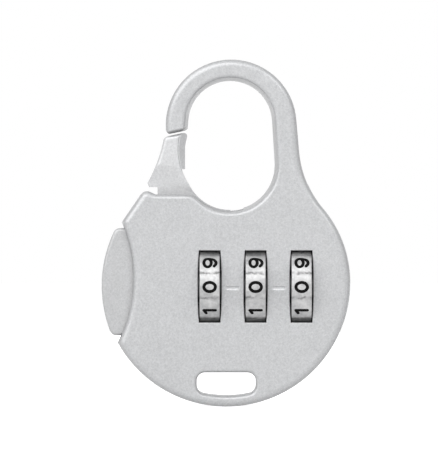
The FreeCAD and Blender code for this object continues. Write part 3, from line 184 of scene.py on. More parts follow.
class Tree:
    """A node tree written as calls: a node's type, its settings, then its sockets."""

    SHARED = ("Math", "VectorMath", "SeparateXYZ", "CombineXYZ")

    def __init__(self, tree, prefix):
        self.tree = tree
        self.prefix = prefix

    def node(self, kind, settings=None, *values, **named):
        """Sockets are filled by their order, or by name with _ for each space."""
        prefix = "ShaderNode" if kind in self.SHARED else self.prefix
        made = self.tree.nodes.new(kind if kind.startswith("Node") else prefix + kind)
        for name, value in (settings or {}).items():
            setattr(made, name, value)
        for index, value in enumerate(values):
            if value is not None:
                self.fill(made.inputs[index], value)
        for name, value in named.items():
            self.fill(made.inputs[name.replace("_", " ")], value)
        return made

    def fill(self, socket, value):
        if isinstance(value, Wire):
            self.tree.links.new(value.socket, socket)
        else:
            socket.default_value = value

    def add(self, kind, settings=None, *values, output=0, **named):
        """The same, as the wire of one output."""
        made = self.node(kind, settings, *values, **named)
        return Wire(self, made.outputs[output])

    def split(self, vector):
        made = self.node("SeparateXYZ", None, vector)
        return [Wire(self, socket) for socket in made.outputs]

    def joined(self, *parts):
        """Several geometries as one."""
        made = self.node("JoinGeometry")
        for part in parts:
            self.fill(made.inputs[0], part)
        return Wire(self, made.outputs[0])


# ---------------------------------------------------------------- colour and noise
# a Mix node's float and vector sockets come between its factor and its colours
MIX_SKIPPED = [None] * 5
MIX_COLOUR = 2
NOISE_MIDDLE = 0.5


def finish_tree(name):
    material = bpy.data.materials.new(name)
    material.use_nodes = True
    material.node_tree.nodes.clear()
    return material, Tree(material.node_tree, "ShaderNode")


def object_place(tree):
    return tree.add("TexCoord", None, output="Object")


def noise(tree, place, scale, detail=2.0, rough=0.5):
    return tree.add(
        "TexNoise", {"noise_dimensions": "3D"}, Vector=place, Scale=scale, Detail=detail,
        Roughness=rough,
    )


def varied(middle, *shares):
    """A number that swings about its middle with each noise, times that noise's share."""
    first, *others = [(grain - NOISE_MIDDLE) * share for grain, share in shares]
    return sum(others, first) + middle


def grey(level):
    return (level, level, level)


def mixed(tree, low, high, amount, blend="MIX"):
    """A colour between two, each a plain colour or a wire, by an amount from 0 to 1."""
    settings = {"data_type": "RGBA", "blend_type": blend}
    pair = [c if isinstance(c, Wire) else (*c, 1.0) for c in (low, high)]
    return tree.add("Mix", settings, amount, *MIX_SKIPPED, *pair, output=MIX_COLOUR)


def spread_about(colour, spread):
    return [max(0.0, c - spread) for c in colour], [min(1.0, c + spread) for c in colour]


def tinted(tree, shade, mask, gain):
    """A colour that is lighter or darker by a factor where a mask is 1."""
    return mixed(tree, shade, grey(gain), mask, "MULTIPLY")


# ---------------------------------------------------------------- where the paint and its painted light and shade change
# the walls inside are coloured near black as painted shade, which starts behind the front face,
# darkens over a fade, and stops at the thickness of the cover, the rim and the straight upper
# left edge
INSIDE_SHADE_START = 0.15 * MM
INSIDE_SHADE_FADE = 1.1 * MM
COVER_WALL = 0.8 * MM
RIM_WALL = 1.1 * MM
HORN_WALL = 0.7 * MM
# the painted shade on the front rim's roll, by depth behind the front face
ROLL_START = 0.1 * MM
ROLL_WIDTH = 0.6 * MM
ROLL_END = 4.0 * MM
ROLL_FADE = 2.5 * MM
# the painted highlight on the lower lip of the index marks: how far below the dials' axis, and
# half its height and width
LIP_DROP = 0.40 * MM
LIP_HALF = 0.42 * MM
LIP_FADE = 0.34 * MM
MARK_HALF = 1.6 * MM
MARK_FADE = 0.8 * MM
MARK_DEPTH = 1.0 * MM
# the painted shade on the hook's cut end: how far over the cut it spreads, and how far below its
# corner
CUT_TOP = 0.6 * MM
CUT_FADE = 0.5 * MM
CUT_BELOW = 1.0 * MM
# the painted light on the gate above its slope, and the painted shade on the pad beside the
# body's arc
GATE_LIGHT_HEIGHT = 40.0 * MM
GATE_LIGHT_FADE = 2.2 * MM
SEAM_WIDTH = 1.6 * MM


def rising(value, start, width):
    """Eases from 0 to 1 over a width that begins at a start."""
    return ((value - start) / width).soft()


def falling(value, end, width):
    """Eases from 1 to 0 over a width that stops at an end."""
    return ((end - value) / width).soft()


def from_centre(x, z, circle):
    """How far a point of the front view lies from a circle's centre."""
    across, up = x - circle[0], z - circle[1]
    return (across * across + up * up).root()


def inside_shade(tree, place):
    """1 on the walls inside the casting, which are coloured dark as painted shade; it fades in
    along the windows' walls.
    """
    x, y, z = tree.split(place)
    deep = rising(y - FRONT, INSIDE_SHADE_START, INSIDE_SHADE_FADE) * (y < BACK - COVER_WALL)
    in_circle = from_centre(x, z, BODY) < BODY_RADIUS - RIM_WALL
    off_opening = from_centre(x, z, OPENING) > OPENING[2]
    off_pad = from_centre(x, z, PAD_ARC) > PAD_ARC[2]
    inward = (x - HORN[0]) * math.cos(HORN_LEAN) - (z - HORN[1]) * math.sin(HORN_LEAN)
    off_edges = (inward > HORN_WALL) * (z < LEDGE_HEIGHT) * (z > SLOT_TOP)
    return deep * in_circle * off_opening * off_pad * off_edges


def rim_roll_shade(tree, place):
    """Rises to 1 where the front rim rolls over into the sides, and fades further back; there the
    paint is darkened as painted shade.
    """
    depth = tree.split(place)[1] - FRONT
    return rising(depth, ROLL_START, ROLL_WIDTH) * falling(depth, ROLL_END, ROLL_FADE)


def mark_lip_highlight(tree, place):
    """1 on the lower lip of the index marks, where the paint is made lighter as a painted
    highlight.
    """
    x, y, z = tree.split(place)
    along = abs(abs(x - DIAL_MIDDLE) - DIAL_PITCH / 2)
    down = abs(z - AXIS_Z + LIP_DROP)
    lip = falling(along, MARK_HALF, MARK_FADE) * falling(down, LIP_HALF, LIP_FADE)
    return lip * (y < FRONT + MARK_DEPTH)


def cut_end_shade(tree, place):
    """Rises to 1 on the hook's cut end, which is darkened there as painted shade."""
    x, _, z = tree.split(place)
    along, up = x - HOOK_END[0], z - HOOK_END[1]
    above = up * math.cos(HOOK_SLANT) - along * math.sin(HOOK_SLANT)
    return falling(above, CUT_TOP, CUT_FADE) * (x < 0.0) * (z > HOOK_END[1] - CUT_BELOW)


def gate_top_light(tree, place):
    """1 on the gate above its slope, where the paint is made lighter as painted light, fading to
    0 below.
    """
    return rising(tree.split(place)[2], GATE_LIGHT_HEIGHT, GATE_LIGHT_FADE)


def gate_root_shade(tree, place):
    """1 on the root of the gate between the body's ledge and the slope, darkened there as painted
    shade.
    """
    return (1.0 - gate_top_light(tree, place)) * (tree.split(place)[2] > LEDGE_HEIGHT)


def pad_seam_shade(tree, place):
    """Rises to 1 on the pad beside the body's arc, darkened there as painted shade."""
    x, _, z = tree.split(place)
    reach = from_centre(x, z, PAD_ARC) - PAD_ARC[2]
    return rising(reach, -SEAM_WIDTH, SEAM_WIDTH) * (z < LEDGE_HEIGHT)


# ---------------------------------------------------------------- finishes
# grains per metre of each pattern, on paint, in the painted shade inside, on the dials and in the
# enamel
FLAKES, SPECKS, CLOUDS, PEEL, INSIDE_SHADE_GRAIN = 2700.0, 6200.0, 260.0, 1300.0, 900.0
LINES, SMUDGES = 900.0, 350.0
WANDER, PATCHES, HANDLING, BLOTCHES = 1400.0, 800.0, 520.0, 1500.0
ENAMEL_PATCHES = 2400.0
# how deep the bumps of each are
PEEL_DEPTH, LINE_DEPTH, BLOTCH_DEPTH, ENAMEL_DEPTH = 0.05 * MM, 0.04 * MM, 0.05 * MM, 0.03 * MM

CASE_COLOUR = (0.578, 0.584, 0.594)
LEVER_COLOUR = (0.547, 0.551, 0.559)
PAINT_METAL = 0.24
PAINT_COAT = 0.35
COAT_ROUGHNESS = 0.25
PAINT_ROUGHNESS = 0.40
BARE_ROUGHNESS = 0.85
# the painted shade on the walls inside the casting, near black
INSIDE_SHADE_DARK, INSIDE_SHADE_LIGHT = grey(0.004), grey(0.014)
NICKEL_DARK, NICKEL_BRIGHT = (0.33, 0.33, 0.335), grey(0.56)
NICKEL_METAL = 0.85
NICKEL_ROUGHNESS = 0.48
# the colour of the painted shade in the dials' hollows, and how strongly it is laid on
HOLLOW_SHADE = grey(0.07)
HOLLOW_SHADE_STRENGTH = 0.6
# the line of painted shade in the hollow between two numbers, in radians round the dial: how far
# it is off the middle, half its width and how much it wanders; and which share of the line is
# left unshaded
HOLLOW_SHADE_SHIFT = 0.04
HOLLOW_SHADE_HALF = 0.06
HOLLOW_SHADE_WANDER = 0.16
UNSHADED_BELOW = 0.36
PATCH_EDGE = 4.0
ENAMEL_DARK, ENAMEL_LIGHT = grey(0.001), grey(0.004)
ENAMEL_ROUGHNESS = 0.55
ENAMEL_GLINT = 0.1


def silver_paint(name, colour, spread, grain, areas, hollow=False):
    """Satin silver paint on a die casting: metal flake, soft mottling, faint orange peel.

    Each of the areas is a mask and how much lighter or darker the paint is there, as painted
    light or shade. A hollow casting is unpainted metal inside, dull, and coloured near black as
    painted shade.
    """
    material, tree = finish_tree(name)
    place = object_place(tree)
    flake = noise(tree, place, FLAKES, 2.0, 0.6)
    speck = noise(tree, place, SPECKS, 1.0)
    cloud = noise(tree, place, CLOUDS, 3.0, 0.55)
    mottle = varied(0.5, (flake, 1.3), (speck, 0.8), (cloud, 0.2)).clamped()
    shade = mixed(tree, *spread_about(colour, spread), mottle)
    # painted light and shade: each area makes the paint lighter or darker by its gain
    for area, gain in areas:
        shade = tinted(tree, shade, area(tree, place), gain)
    gloss = varied(PAINT_ROUGHNESS, (cloud, 0.14), (flake, 0.16))
    peel = flake * 0.5 + noise(tree, place, PEEL, 2.0) * 0.5
    metal, coat = PAINT_METAL, PAINT_COAT
    if hollow:
        # painted shade: the walls inside are coloured near black, dull and without paint
        inside = inside_shade(tree, place)
        unpainted_in_shade = mixed(tree, INSIDE_SHADE_DARK, INSIDE_SHADE_LIGHT, noise(tree, place, INSIDE_SHADE_GRAIN, 3.0))
        shade = mixed(tree, shade, unpainted_in_shade, inside)
        gloss = gloss * (1.0 - inside) + inside * BARE_ROUGHNESS
        metal = (1.0 - inside) * metal
        coat = (1.0 - inside) * coat
    relief = tree.add("Bump", None, Strength=grain, Distance=PEEL_DEPTH, Height=peel)
    shader = tree.add(
        "BsdfPrincipled", None, Base_Color=shade, Metallic=metal, Roughness=gloss, Normal=relief,
        Coat_Weight=coat, Coat_Roughness=COAT_ROUGHNESS,
    )
    tree.node("OutputMaterial", None, shader)
    return material


def bright_metal(name, colour, spread, roughness, along=(1.0, 1.0, 1.0)):
    """Plated or turned metal: fine lines stretched one way, smudges and small stains."""
    material, tree = finish_tree(name)
    place = object_place(tree)
    stretched = tree.add("Mapping", None, Vector=place, Scale=along)
    lines = noise(tree, stretched, LINES, 3.0, 0.6)
    smudge = noise(tree, place, SMUDGES, 4.0, 0.6)
    mottle = varied(0.5, (lines, 0.8), (smudge, 1.4)).clamped()
    shade = mixed(tree, *spread_about(colour, spread), mottle)
    gloss = varied(roughness, (smudge, 0.2), (lines, 0.1))
    relief = tree.add("Bump", None, Strength=0.08, Distance=LINE_DEPTH, Height=lines)
    shader = tree.add(
        "BsdfPrincipled", None, Base_Color=shade, Metallic=1.0, Roughness=gloss, Normal=relief
    )
    tree.node("OutputMaterial", None, shader)
    return material


def dial_plate(name):
    """Nickel on a number dial: cloudy handling marks, and a patchy line of painted shade in the
    hollows between numbers.
    """
    material, tree = finish_tree(name)
    place = object_place(tree)
    _, y, z = tree.split(place)
    turned = tree.add("Math", {"operation": "ARCTAN2"}, z - AXIS_Z, AXIS_Y - y)
    wander = (noise(tree, place, WANDER, 3.0, 0.6) - NOISE_MIDDLE) * HOLLOW_SHADE_WANDER
    off = abs((turned - PHASE - HOLLOW_SHADE_SHIFT) % STEP - STEP / 2 + wander)
    patchy = (noise(tree, place, PATCHES, 2.0) - UNSHADED_BELOW) * PATCH_EDGE
    hollow_shade = (1.0 - off / HOLLOW_SHADE_HALF).soft() * patchy.clamped()
    cloud = noise(tree, place, HANDLING, 4.0, 0.65)
    blotch = noise(tree, place, BLOTCHES, 3.0, 0.6)
    mottle = varied(0.5, (cloud, 2.2), (blotch, 1.2)).clamped()
    plain_nickel = mixed(tree, NICKEL_DARK, NICKEL_BRIGHT, mottle)
    shade = mixed(tree, plain_nickel, HOLLOW_SHADE, hollow_shade * HOLLOW_SHADE_STRENGTH)
    gloss = (cloud - NOISE_MIDDLE) * 0.2 + hollow_shade * 0.2 + NICKEL_ROUGHNESS
    relief = tree.add("Bump", None, Strength=0.25, Distance=BLOTCH_DEPTH, Height=blotch)
    shader = tree.add(
        "BsdfPrincipled", None, Base_Color=shade, Metallic=NICKEL_METAL, Roughness=gloss,
        Normal=relief,
    )
    tree.node("OutputMaterial", None, shader)
    return material


def number_paint(name):
    """Black enamel in the numbers: nearly black, slightly uneven and semi-gloss."""
    material, tree = finish_tree(name)
    patch = noise(tree, object_place(tree), ENAMEL_PATCHES, 3.0)
    shade = mixed(tree, ENAMEL_DARK, ENAMEL_LIGHT, patch)
    gloss = patch * 0.2 + ENAMEL_ROUGHNESS
    relief = tree.add("Bump", None, Strength=0.2, Distance=ENAMEL_DEPTH, Height=patch)
    shader = tree.add(
        "BsdfPrincipled", None, Base_Color=shade, Roughness=gloss, Normal=relief,
        Specular_IOR_Level=ENAMEL_GLINT,
    )
    tree.node("OutputMaterial", None, shader)
    return material


# painted shade on the rim's roll and the hook's cut end, a painted highlight on the marks' lower
# lips; painted light on the gate's top, painted shade on its root and beside the pad
CASE_AREAS = [(rim_roll_shade, 0.84), (mark_lip_highlight, 1.28), (cut_end_shade, 0.5)]
LEVER_AREAS = [(gate_top_light, 1.24), (gate_root_shade, 0.92), (pad_seam_shade, 0.86)]
DRAWN_ALONG_Y = (1.0, 0.15, 1.0)
DRAWN_ALONG_X = (0.2, 1.0, 1.0)
case_paint = silver_paint("case_silver", CASE_COLOUR, 0.11, 0.30, CASE_AREAS, hollow=True)
lever_paint = silver_paint("lever_silver", LEVER_COLOUR, 0.10, 0.28, LEVER_AREAS)
dial_nickel = dial_plate("dial_nickel")
screw_zinc = bright_metal("screw_zinc", (0.52, 0.52, 0.53), 0.06, 0.34)
stamped_steel = bright_metal("stamped_steel", (0.30, 0.30, 0.31), 0.05, 0.42, DRAWN_ALONG_Y)
spring_wire = bright_metal("spring_wire", (0.33, 0.33, 0.34), 0.05, 0.30)
sleeve_steel = bright_metal("sleeve_steel", (0.10, 0.10, 0.105), 0.03, 0.40, DRAWN_ALONG_X)
button_steel = bright_metal("button_steel", (0.55, 0.55, 0.56), 0.05, 0.28, DRAWN_ALONG_X)
enamel = number_paint("number_enamel")

FINISHES = {
    case_paint: ("front_shell", "back_cover"),
    lever_paint: ("gate_lever",),
    screw_zinc: ("cover_screws",),
    stamped_steel: ("lever_pin", "spindle", "spindle_plate", "hub_plates", "reset_yoke"),
    spring_wire: ("lever_spring", "spindle_spring", "reset_spring", "click_spring"),
    sleeve_steel: tuple(f"hub_{side}" for side in SIDES),
    button_steel: ("reset_button",),
    dial_nickel: tuple(f"dial_{side}" for side in SIDES),
}
for finish, names in FINISHES.items():
    for name in names:
        mesh = nodes[name].data
        mesh.materials.clear()
        mesh.materials.append(finish)

# ---------------------------------------------------------------- dials and their numbers
DIAL_BORE = 3.3 * MM
SHOULDER = 0.22 * MM
BORE_BEVEL = 0.12 * MM
# points across the level rim, as shares of half its width
LEVEL_PLACES = (-0.7, -0.35, 0.0, 0.35, 0.7)
SHOULDER_STEPS = 6
RIM_STEPS = 720
# a hollow dips only what lies beyond this share of the dial's radius
RIM_SHARE = 0.94
HOLLOW_DEPTH = 0.07 * MM
HOLLOW_HALF = math.radians(6.5)
# a number's stroke, and its size between the middles of its strokes
STROKE = 0.59 * MM
NUMBER_HEIGHT = 2.15 * MM
NUMBER_WIDTH = 2.13 * MM
RUN_STEPS = 6
OVAL_POINTS = 12
PEN_SIDES = 12
BEAD_SIDES = 16
BEAD_RINGS = 8


# each stroke of a number is whether it closes, whether it is rounded, and its points
def oval(cx, cy, rx, ry):
    turns = [math.tau * k / OVAL_POINTS for k in range(OVAL_POINTS)]
    return True, True, [(cx + rx * math.sin(a), cy + ry * math.cos(a)) for a in turns]


def bow(*points):
    return False, True, points


def bars(*points):
    return False, False, points


# the numbers 0 to 9, each in a box one high and about 0.8 wide; a six is a nine turned over
NINE_HOOK = [
    (0.45, 0.70), (0.43, 0.40), (0.32, 0.11), (0.08, -0.05), (-0.17, -0.02), (-0.33, 0.12),
]
NUMBERS = [
    [oval(0, 0.5, 0.40, 0.5)],
    [bars((-0.26, 0.80), (0.06, 1.0), (0.06, 0.0))],
    [
        bow((-0.33, 0.78), (-0.2, 0.95), (0.04, 1.0), (0.28, 0.88), (0.33, 0.68), (0.2, 0.45),
            (-0.06, 0.2), (-0.33, 0.0)),
        bars((-0.33, 0.0), (0.36, 0.0)),
    ],
    [
        bow((-0.3, 0.84), (-0.1, 1.0), (0.2, 0.97), (0.31, 0.78), (0.2, 0.58), (-0.06, 0.53)),
        bow((-0.06, 0.53), (0.22, 0.5), (0.36, 0.3), (0.26, 0.06), (0.0, 0.0), (-0.24, 0.04),
            (-0.35, 0.19)),
    ],
    [bars((0.14, 0.0), (0.14, 1.0), (-0.38, 0.27), (0.38, 0.27))],
    [
        bars((0.28, 1.0), (-0.22, 1.0), (-0.29, 0.54)),
        bow((-0.29, 0.54), (-0.1, 0.63), (0.16, 0.61), (0.34, 0.42), (0.31, 0.14), (0.08, 0.0),
            (-0.18, 0.02), (-0.34, 0.16)),
    ],
    [oval(-0.02, 0.32, 0.43, 0.32), bow(*[(-x, 1.0 - y) for x, y in NINE_HOOK])],
    [bars((-0.35, 1.0), (0.35, 1.0), (-0.08, 0.0))],
    [oval(0, 0.765, 0.28, 0.235), oval(0, 0.265, 0.36, 0.265)],
    [oval(0.02, 0.68, 0.43, 0.32), bow(*NINE_HOOK)],
]


def curved_run(points, closed):
    """Points along a smooth curve through the given ones, a fixed number to each span."""
    count = len(points)
    found = []
    for span in range(count if closed else count - 1):
        ring = [(span + k) % count for k in (-1, 0, 1, 2)]
        open_ends = [min(max(span + k, 0), count - 1) for k in (-1, 0, 1, 2)]
        a, b, c, d = [Vector(points[k]) for k in (ring if closed else open_ends)]
        for step in range(RUN_STEPS):
            t = step / RUN_STEPS
            found.append(
                0.5 * (2 * b + (c - a) * t + (2 * a - 5 * b + 4 * c - d) * t**2
                       + (3 * b - a - 3 * c + d) * t**3)
            )
    return found if closed else [*found, Vector(points[-1])]


def straight_run(start, end):
    first, last = Vector(start), Vector(end)
    return [first.lerp(last, step / RUN_STEPS) for step in range(RUN_STEPS + 1)]


def number_strip():
    """Centre lines of the ten numbers laid flat: x along the dial's axis, y round its rim."""
    form = bmesh.new()
    for value, strokes in enumerate(NUMBERS):
        runs = []
        for closed, rounded, points in strokes:
            if rounded:
                runs.append((closed, curved_run(points, closed)))
            else:
                runs += [(False, straight_run(*pair)) for pair in zip(points, points[1:])]
        for closed, run in runs:
            chain = []
            for across, up in run:
                # the tops of the numbers point to the left, so their left side faces down
                x = (0.5 - up) * NUMBER_HEIGHT
                y = across * NUMBER_WIDTH - value * STEP * DIAL_RADIUS
                chain.append(form.verts.new((x, y, 0.0)))
            pairs = list(zip(chain, chain[1:]))
            if closed:
                pairs.append((chain[-1], chain[0]))
            for pair in pairs:
                form.edges.new(pair)
    mesh = bpy.data.meshes.new("number_lines")
    form.to_mesh(mesh)
    form.free()
    return mesh


def geometry_tree(name, inputs):
    group = bpy.data.node_groups.new(name, "GeometryNodeTree")
    group.interface.new_socket("Geometry", in_out="INPUT", socket_type="NodeSocketGeometry")
    for title, kind in inputs:
        group.interface.new_socket(title, in_out="INPUT", socket_type=f"NodeSocket{kind}")
    group.interface.new_socket("Geometry", in_out="OUTPUT", socket_type="NodeSocketGeometry")
    tree = Tree(group, "GeometryNode")
    source = tree.node("NodeGroupInput")
    wires = {socket.name: Wire(tree, socket) for socket in source.outputs if socket.name}
    return group, tree, wires


def close_geometry(tree, shape, finish):
    solid = tree.add("RealizeInstances", None, shape)
    painted = tree.add("SetMaterial", None, solid, Material=finish)
    tree.node("NodeGroupOutput", None, painted)


def grown(name, mesh, group, values):
    """The plain mesh that a tree makes of a starting mesh, as a new object."""
    start = bpy.data.objects.new(f"{name}_start", mesh)
    scene.collection.objects.link(start)
    modifier = start.modifiers.new("grow", "NODES")
    modifier.node_group = group
    for item in group.interface.items_tree:
        if item.in_out == "INPUT" and item.name in values:
            modifier[item.identifier] = values[item.name]
    bpy.context.view_layer.update()
    depsgraph = bpy.context.evaluated_depsgraph_get()
    result = bpy.data.meshes.new_from_object(start.evaluated_get(depsgraph), depsgraph=depsgraph)
    start.modifiers.clear()
    bpy.data.objects.remove(start)
    result.name = name
    made = bpy.data.objects.new(name, result)
    scene.collection.objects.link(made)
    return made


def numbers_tree():
    """Number strokes: a round pen along each line with beads on its ends, bent round the rim."""
    group, tree, wires = geometry_tree(
        "dial_numbers",
        [("Radius", "Float"), ("Stroke", "Float"), ("Relief", "Float"), ("Phase", "Float"),
         ("Centre", "Vector"), ("Finish", "Material")],
    )
    lines = tree.add("MeshToCurve", None, wires["Geometry"])
    pen = tree.add(
        "CurvePrimitiveCircle", None, Resolution=PEN_SIDES, Radius=wires["Stroke"] * 0.5
    )
    ribbon = tree.add("CurveToMesh", None, lines, pen, Fill_Caps=True)
    tips = tree.add("CurveEndpointSelection")
    bead = tree.add(
        "MeshUVSphere", None, Segments=BEAD_SIDES, Rings=BEAD_RINGS, Radius=wires["Stroke"] * 0.5
    )
    beads = tree.add("InstanceOnPoints", None, lines, Selection=tips, Instance=bead)
    strokes = tree.joined(ribbon, tree.add("RealizeInstances", None, beads))
    x, y, z = tree.split(tree.add("InputPosition"))
    angle = y / wires["Radius"] + wires["Phase"]
    reach = wires["Radius"] + z * wires["Relief"]
    ahead = tree.add("Math", {"operation": "COSINE"}, angle)
    up = tree.add("Math", {"operation": "SINE"}, angle)
    bent = tree.add("CombineXYZ", None, x, -(reach * ahead), reach * up)
    moved = tree.add("VectorMath", {"operation": "ADD"}, bent, wires["Centre"])
    wrapped = tree.add("SetPosition", None, strokes, Position=moved)
    close_geometry(tree, wrapped, wires["Finish"])
    return group


def rim_tree():
    """A dial: a turned ring whose rim has shallow hollows between the numbers."""
    group, tree, wires = geometry_tree(
        "dial_rim",
        [("Radius", "Float"), ("Hollow", "Float"), ("Half Angle", "Float"), ("Phase", "Float"),
         ("Centre", "Vector"), ("Finish", "Material")],
    )
    x, y, z = tree.split(tree.add("InputPosition"))
    angle = tree.add("Math", {"operation": "ARCTAN2"}, z, -y)
    reach = (y * y + z * z).root()
    away = abs((angle - wires["Phase"]) % STEP - STEP / 2)
    dip = (1.0 - away / wires["Half Angle"]).soft()
    outside = reach > wires["Radius"] * RIM_SHARE
    factor = 1.0 - dip * outside * wires["Hollow"] / reach
    bent = tree.add("CombineXYZ", None, x, y * factor, z * factor)
    moved = tree.add("VectorMath", {"operation": "ADD"}, bent, wires["Centre"])
    shaped = tree.add("SetPosition", None, wires["Geometry"], Position=moved)
    smooth = tree.add("SetShadeSmooth", None, shaped, Shade_Smooth=True)
    close_geometry(tree, smooth, wires["Finish"])
    return group


def turned_ring(section):
    """A closed section of (x, radius) points turned round the X axis, as a mesh."""
    form = bmesh.new()
    rings = []
    for step in range(RIM_STEPS):
        angle = math.tau * step / RIM_STEPS
        rings.append(
            [form.verts.new((x, -r * math.cos(angle), r * math.sin(angle))) for x, r in section]
        )
    count = len(section)
    for step in range(RIM_STEPS):
        ring, after = rings[step], rings[(step + 1) % RIM_STEPS]
        for k in range(count):
            form.faces.new((ring[k], ring[(k + 1) % count], after[(k + 1) % count], after[k]))
    bmesh.ops.recalc_face_normals(form, faces=form.faces)
    mesh = bpy.data.meshes.new("turned_ring")
    form.to_mesh(mesh)
    form.free()
    return mesh


def dial_section(half, rim, bore):
    """Outline of a dial's section: flat sides, rounded shoulders and a level rim."""
    corner = [
        (half - SHOULDER + SHOULDER * math.sin(a), rim - SHOULDER + SHOULDER * math.cos(a))
        for a in [RIGHT * k / SHOULDER_STEPS for k in range(SHOULDER_STEPS + 1)]
    ]
    right = [*corner, (half, bore + BORE_BEVEL), (half - BORE_BEVEL, bore)]
    left = [(-x, r) for x, r in reversed(right)]
    level = [(x * half, rim) for x in LEVEL_PLACES]
    return level + right + left


number_lines = number_strip()
numbers_group = numbers_tree()
rim_group = rim_tree()

for side in SIDES:
    low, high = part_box(f"dial_{side}")
    shared = {"Radius": DIAL_RADIUS, "Phase": PHASE, "Centre": (low + high) / 2}
    dial = grown(
        f"dial_wheel_{side}",
        turned_ring(dial_section(DIAL_HALF, DIAL_RADIUS, DIAL_BORE)),
        rim_group,
        {**shared, "Hollow": HOLLOW_DEPTH, "Half Angle": HOLLOW_HALF, "Finish": dial_nickel},
    )
    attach(dial, f"dial_{side}")
    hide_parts(f"dial_{side}")
    numbers = grown(
        f"dial_numbers_{side}",
        number_lines.copy(),
        numbers_group,
        {**shared, "Stroke": STROKE, "Relief": 2 * RELIEF_HEIGHT / STROKE, "Finish": enamel},
    )
    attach(numbers, f"dial_{side}")

# ---------------------------------------------------------------- springs
# wires and coils are given by their radius
SPINDLE_WIRE = 0.2 * MM
SPINDLE_TURNS = 6.0
RESET_WIRE = 0.1 * MM
RESET_TURNS = 9.0
LEVER_WIRE = 0.125 * MM
LEVER_COIL = 1.35 * MM
LEVER_TURNS = 5.25
LEG_TURNS = 0.25
SPIRAL_STEPS = 32


def spring_tree():
    """A coil spring: a round wire along a spiral and along any straight leg it is given."""
    group, tree, wires = geometry_tree(
        "coil_spring",
        [("Coil", "Float"), ("Wire", "Float"), ("Turns", "Float"), ("Length", "Float"),
         ("Finish", "Material")],
    )
    spiral = tree.add(
        "CurveSpiral", None, Resolution=SPIRAL_STEPS, Rotations=wires["Turns"],
        Start_Radius=wires["Coil"], End_Radius=wires["Coil"], Height=wires["Length"],
    )
    lines = tree.joined(spiral, tree.add("MeshToCurve", None, wires["Geometry"]))
    pen = tree.add("CurvePrimitiveCircle", None, Resolution=PEN_SIDES, Radius=wires["Wire"])
    swept = tree.add("CurveToMesh", None, lines, pen, Fill_Caps=True)
    smooth = tree.add("SetShadeSmooth", None, swept, Shade_Smooth=True)
    close_geometry(tree, smooth, wires["Finish"])
    return group


springs_group = spring_tree()


def spring(name, body, placed, coil, wire, turns, length, leg=()):
    """A spring made round the Z axis, then put in its place; its leg is a list of points."""
    mesh = bpy.data.meshes.new(f"{name}_leg")
    mesh.from_pydata(leg, [(k, k + 1) for k in range(len(leg) - 1)], [])
    sizes = {"Coil": coil, "Wire": wire, "Turns": turns, "Length": length, "Finish": spring_wire}
    made = grown(name, mesh, springs_group, sizes)
    made.data.transform(placed)
    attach(made, body)
    return made


def push_spring(node, wire, turns):
    """A compression spring along X that fills its part's box."""
    low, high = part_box(node)
    middle = (low + high) / 2
    placed = Matrix.Translation((low.x + wire, middle.y, middle.z))
    placed = placed @ Matrix.Rotation(RIGHT, 4, "Y")
    coil = (high.z - low.z) / 2 - wire
    length = high.x - low.x
    made = spring(f"{node}_wound", "case", placed, coil, wire, turns, length - 2 * wire)
    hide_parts(node)
    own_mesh(made)


def torsion_spring():
    """The lever's spring: its first quarter turn and long leg move with the lever."""
    low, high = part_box("lever_spring")
    pin_low, pin_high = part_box("lever_pin")
    pin = (pin_low + pin_high) / 2
    pitch = (high.y - low.y - 2 * LEVER_WIRE) / LEVER_TURNS
    front_turn = Matrix.Translation((pin.x, low.y + LEVER_WIRE, pin.z))
    front_turn = front_turn @ Matrix.Rotation(-RIGHT, 4, "X")
    leg = [(LEVER_COIL, 0, 0), (LEVER_COIL, pin.z - high.z, 0)]
    spring(
        "lever_spring_leg", "lever", front_turn, LEVER_COIL, LEVER_WIRE, LEG_TURNS,
        pitch * LEG_TURNS, leg,
    )
    coil_turns = LEVER_TURNS - LEG_TURNS
    coil_length = pitch * coil_turns
    coil_place = front_turn @ Matrix.Translation((0, 0, pitch * LEG_TURNS))
    coil_place = coil_place @ Matrix.Rotation(RIGHT, 4, "Z")
    foot = [(LEVER_COIL, 0, coil_length), (LEVER_COIL, pin.x - low.x, coil_length)]
    winding = spring(
        "lever_spring_coil", "case", coil_place, LEVER_COIL, LEVER_WIRE, coil_turns, coil_length,
        foot,
    )
    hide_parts("lever_spring")


push_spring("spindle_spring", SPINDLE_WIRE, SPINDLE_TURNS)
push_spring("reset_spring", RESET_WIRE, RESET_TURNS)
torsion_spring()

# ---------------------------------------------------------------- stage and light
FLOOR_REACH = 3.0
FLOOR_CARD = 0.55
FLOOR_GLOW = 0.9
AMBIENT = 0.23
LAMP_DISTANCE = 0.9


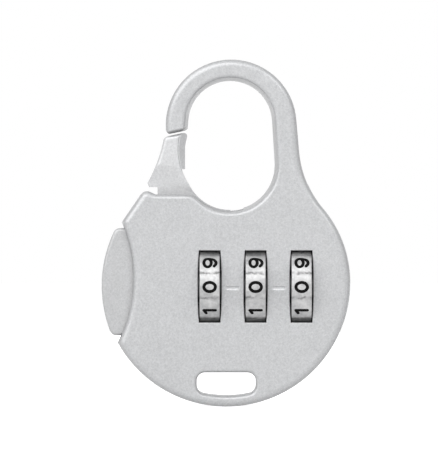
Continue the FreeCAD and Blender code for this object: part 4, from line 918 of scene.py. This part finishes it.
def seen_directly(tree):
    """1 for rays from the camera, off a gloss or through glass, 0 for those that light things."""
    ray = tree.node("LightPath")
    kinds = ("Camera", "Glossy", "Transmission")
    first, *others = [Wire(tree, ray.outputs[f"Is {kind} Ray"]) for kind in kinds]
    return sum(others, first).clamped()


def make_floor():
    mesh = bpy.data.meshes.new("floor")
    turns = ((-1, -1), (1, -1), (1, 1), (-1, 1))
    corners = [(x * FLOOR_REACH, y * FLOOR_REACH, 0) for x, y in turns]
    mesh.from_pydata(corners, [], [(0, 1, 2, 3)])
    made = bpy.data.objects.new("floor", mesh)
    scene.collection.objects.link(made)
    material, tree = finish_tree("floor_white")
    card = tree.add("BsdfDiffuse", None, (*grey(FLOOR_CARD), 1.0))
    glow = tree.add("Emission", None, WHITE, seen_directly(tree) * FLOOR_GLOW)
    tree.node("OutputMaterial", None, tree.add("AddShader", None, card, glow))
    mesh.materials.append(material)


def light_world():
    """An even white world that shows white and lights the lock at the ambient level."""
    world = bpy.data.worlds.new("studio")
    scene.world = world
    world.use_nodes = True
    world.node_tree.nodes.clear()
    tree = Tree(world.node_tree, "ShaderNode")
    level = seen_directly(tree) * (1.0 - AMBIENT) + AMBIENT
    tree.node("OutputWorld", None, tree.add("Background", None, WHITE, level))


def lamp(name, turn, height, width, tall, power):
    """A soft box aimed at the lock, from degrees to the right of straight ahead and upwards."""
    data = bpy.data.lights.new(name, "AREA")
    data.shape = "RECTANGLE"
    data.size = width
    data.size_y = tall
    data.energy = power
    made = bpy.data.objects.new(name, data)
    side, rise = math.radians(turn), math.radians(height)
    level = math.cos(rise)
    way = Vector((math.sin(side) * level, -math.cos(side) * level, math.sin(rise)))
    made.location = Vector((0, 0, MIDDLE_HEIGHT)) + way * LAMP_DISTANCE
    made.rotation_euler = (-way).to_track_quat("-Z", "Y").to_euler()
    made.visible_camera = False
    scene.collection.objects.link(made)
    return made


make_floor()
light_world()
lamp("key_lamp", turn=-30.0, height=36.0, width=1.1, tall=0.8, power=6.7)
lamp("side_lamp", turn=40.0, height=34.0, width=0.3, tall=0.4, power=1.4)
back_lamp = lamp("back_lamp", turn=165.0, height=14.0, width=1.0, tall=0.7, power=5.5)
back_lamp.visible_glossy = False

scene.view_settings.view_transform = "Standard"
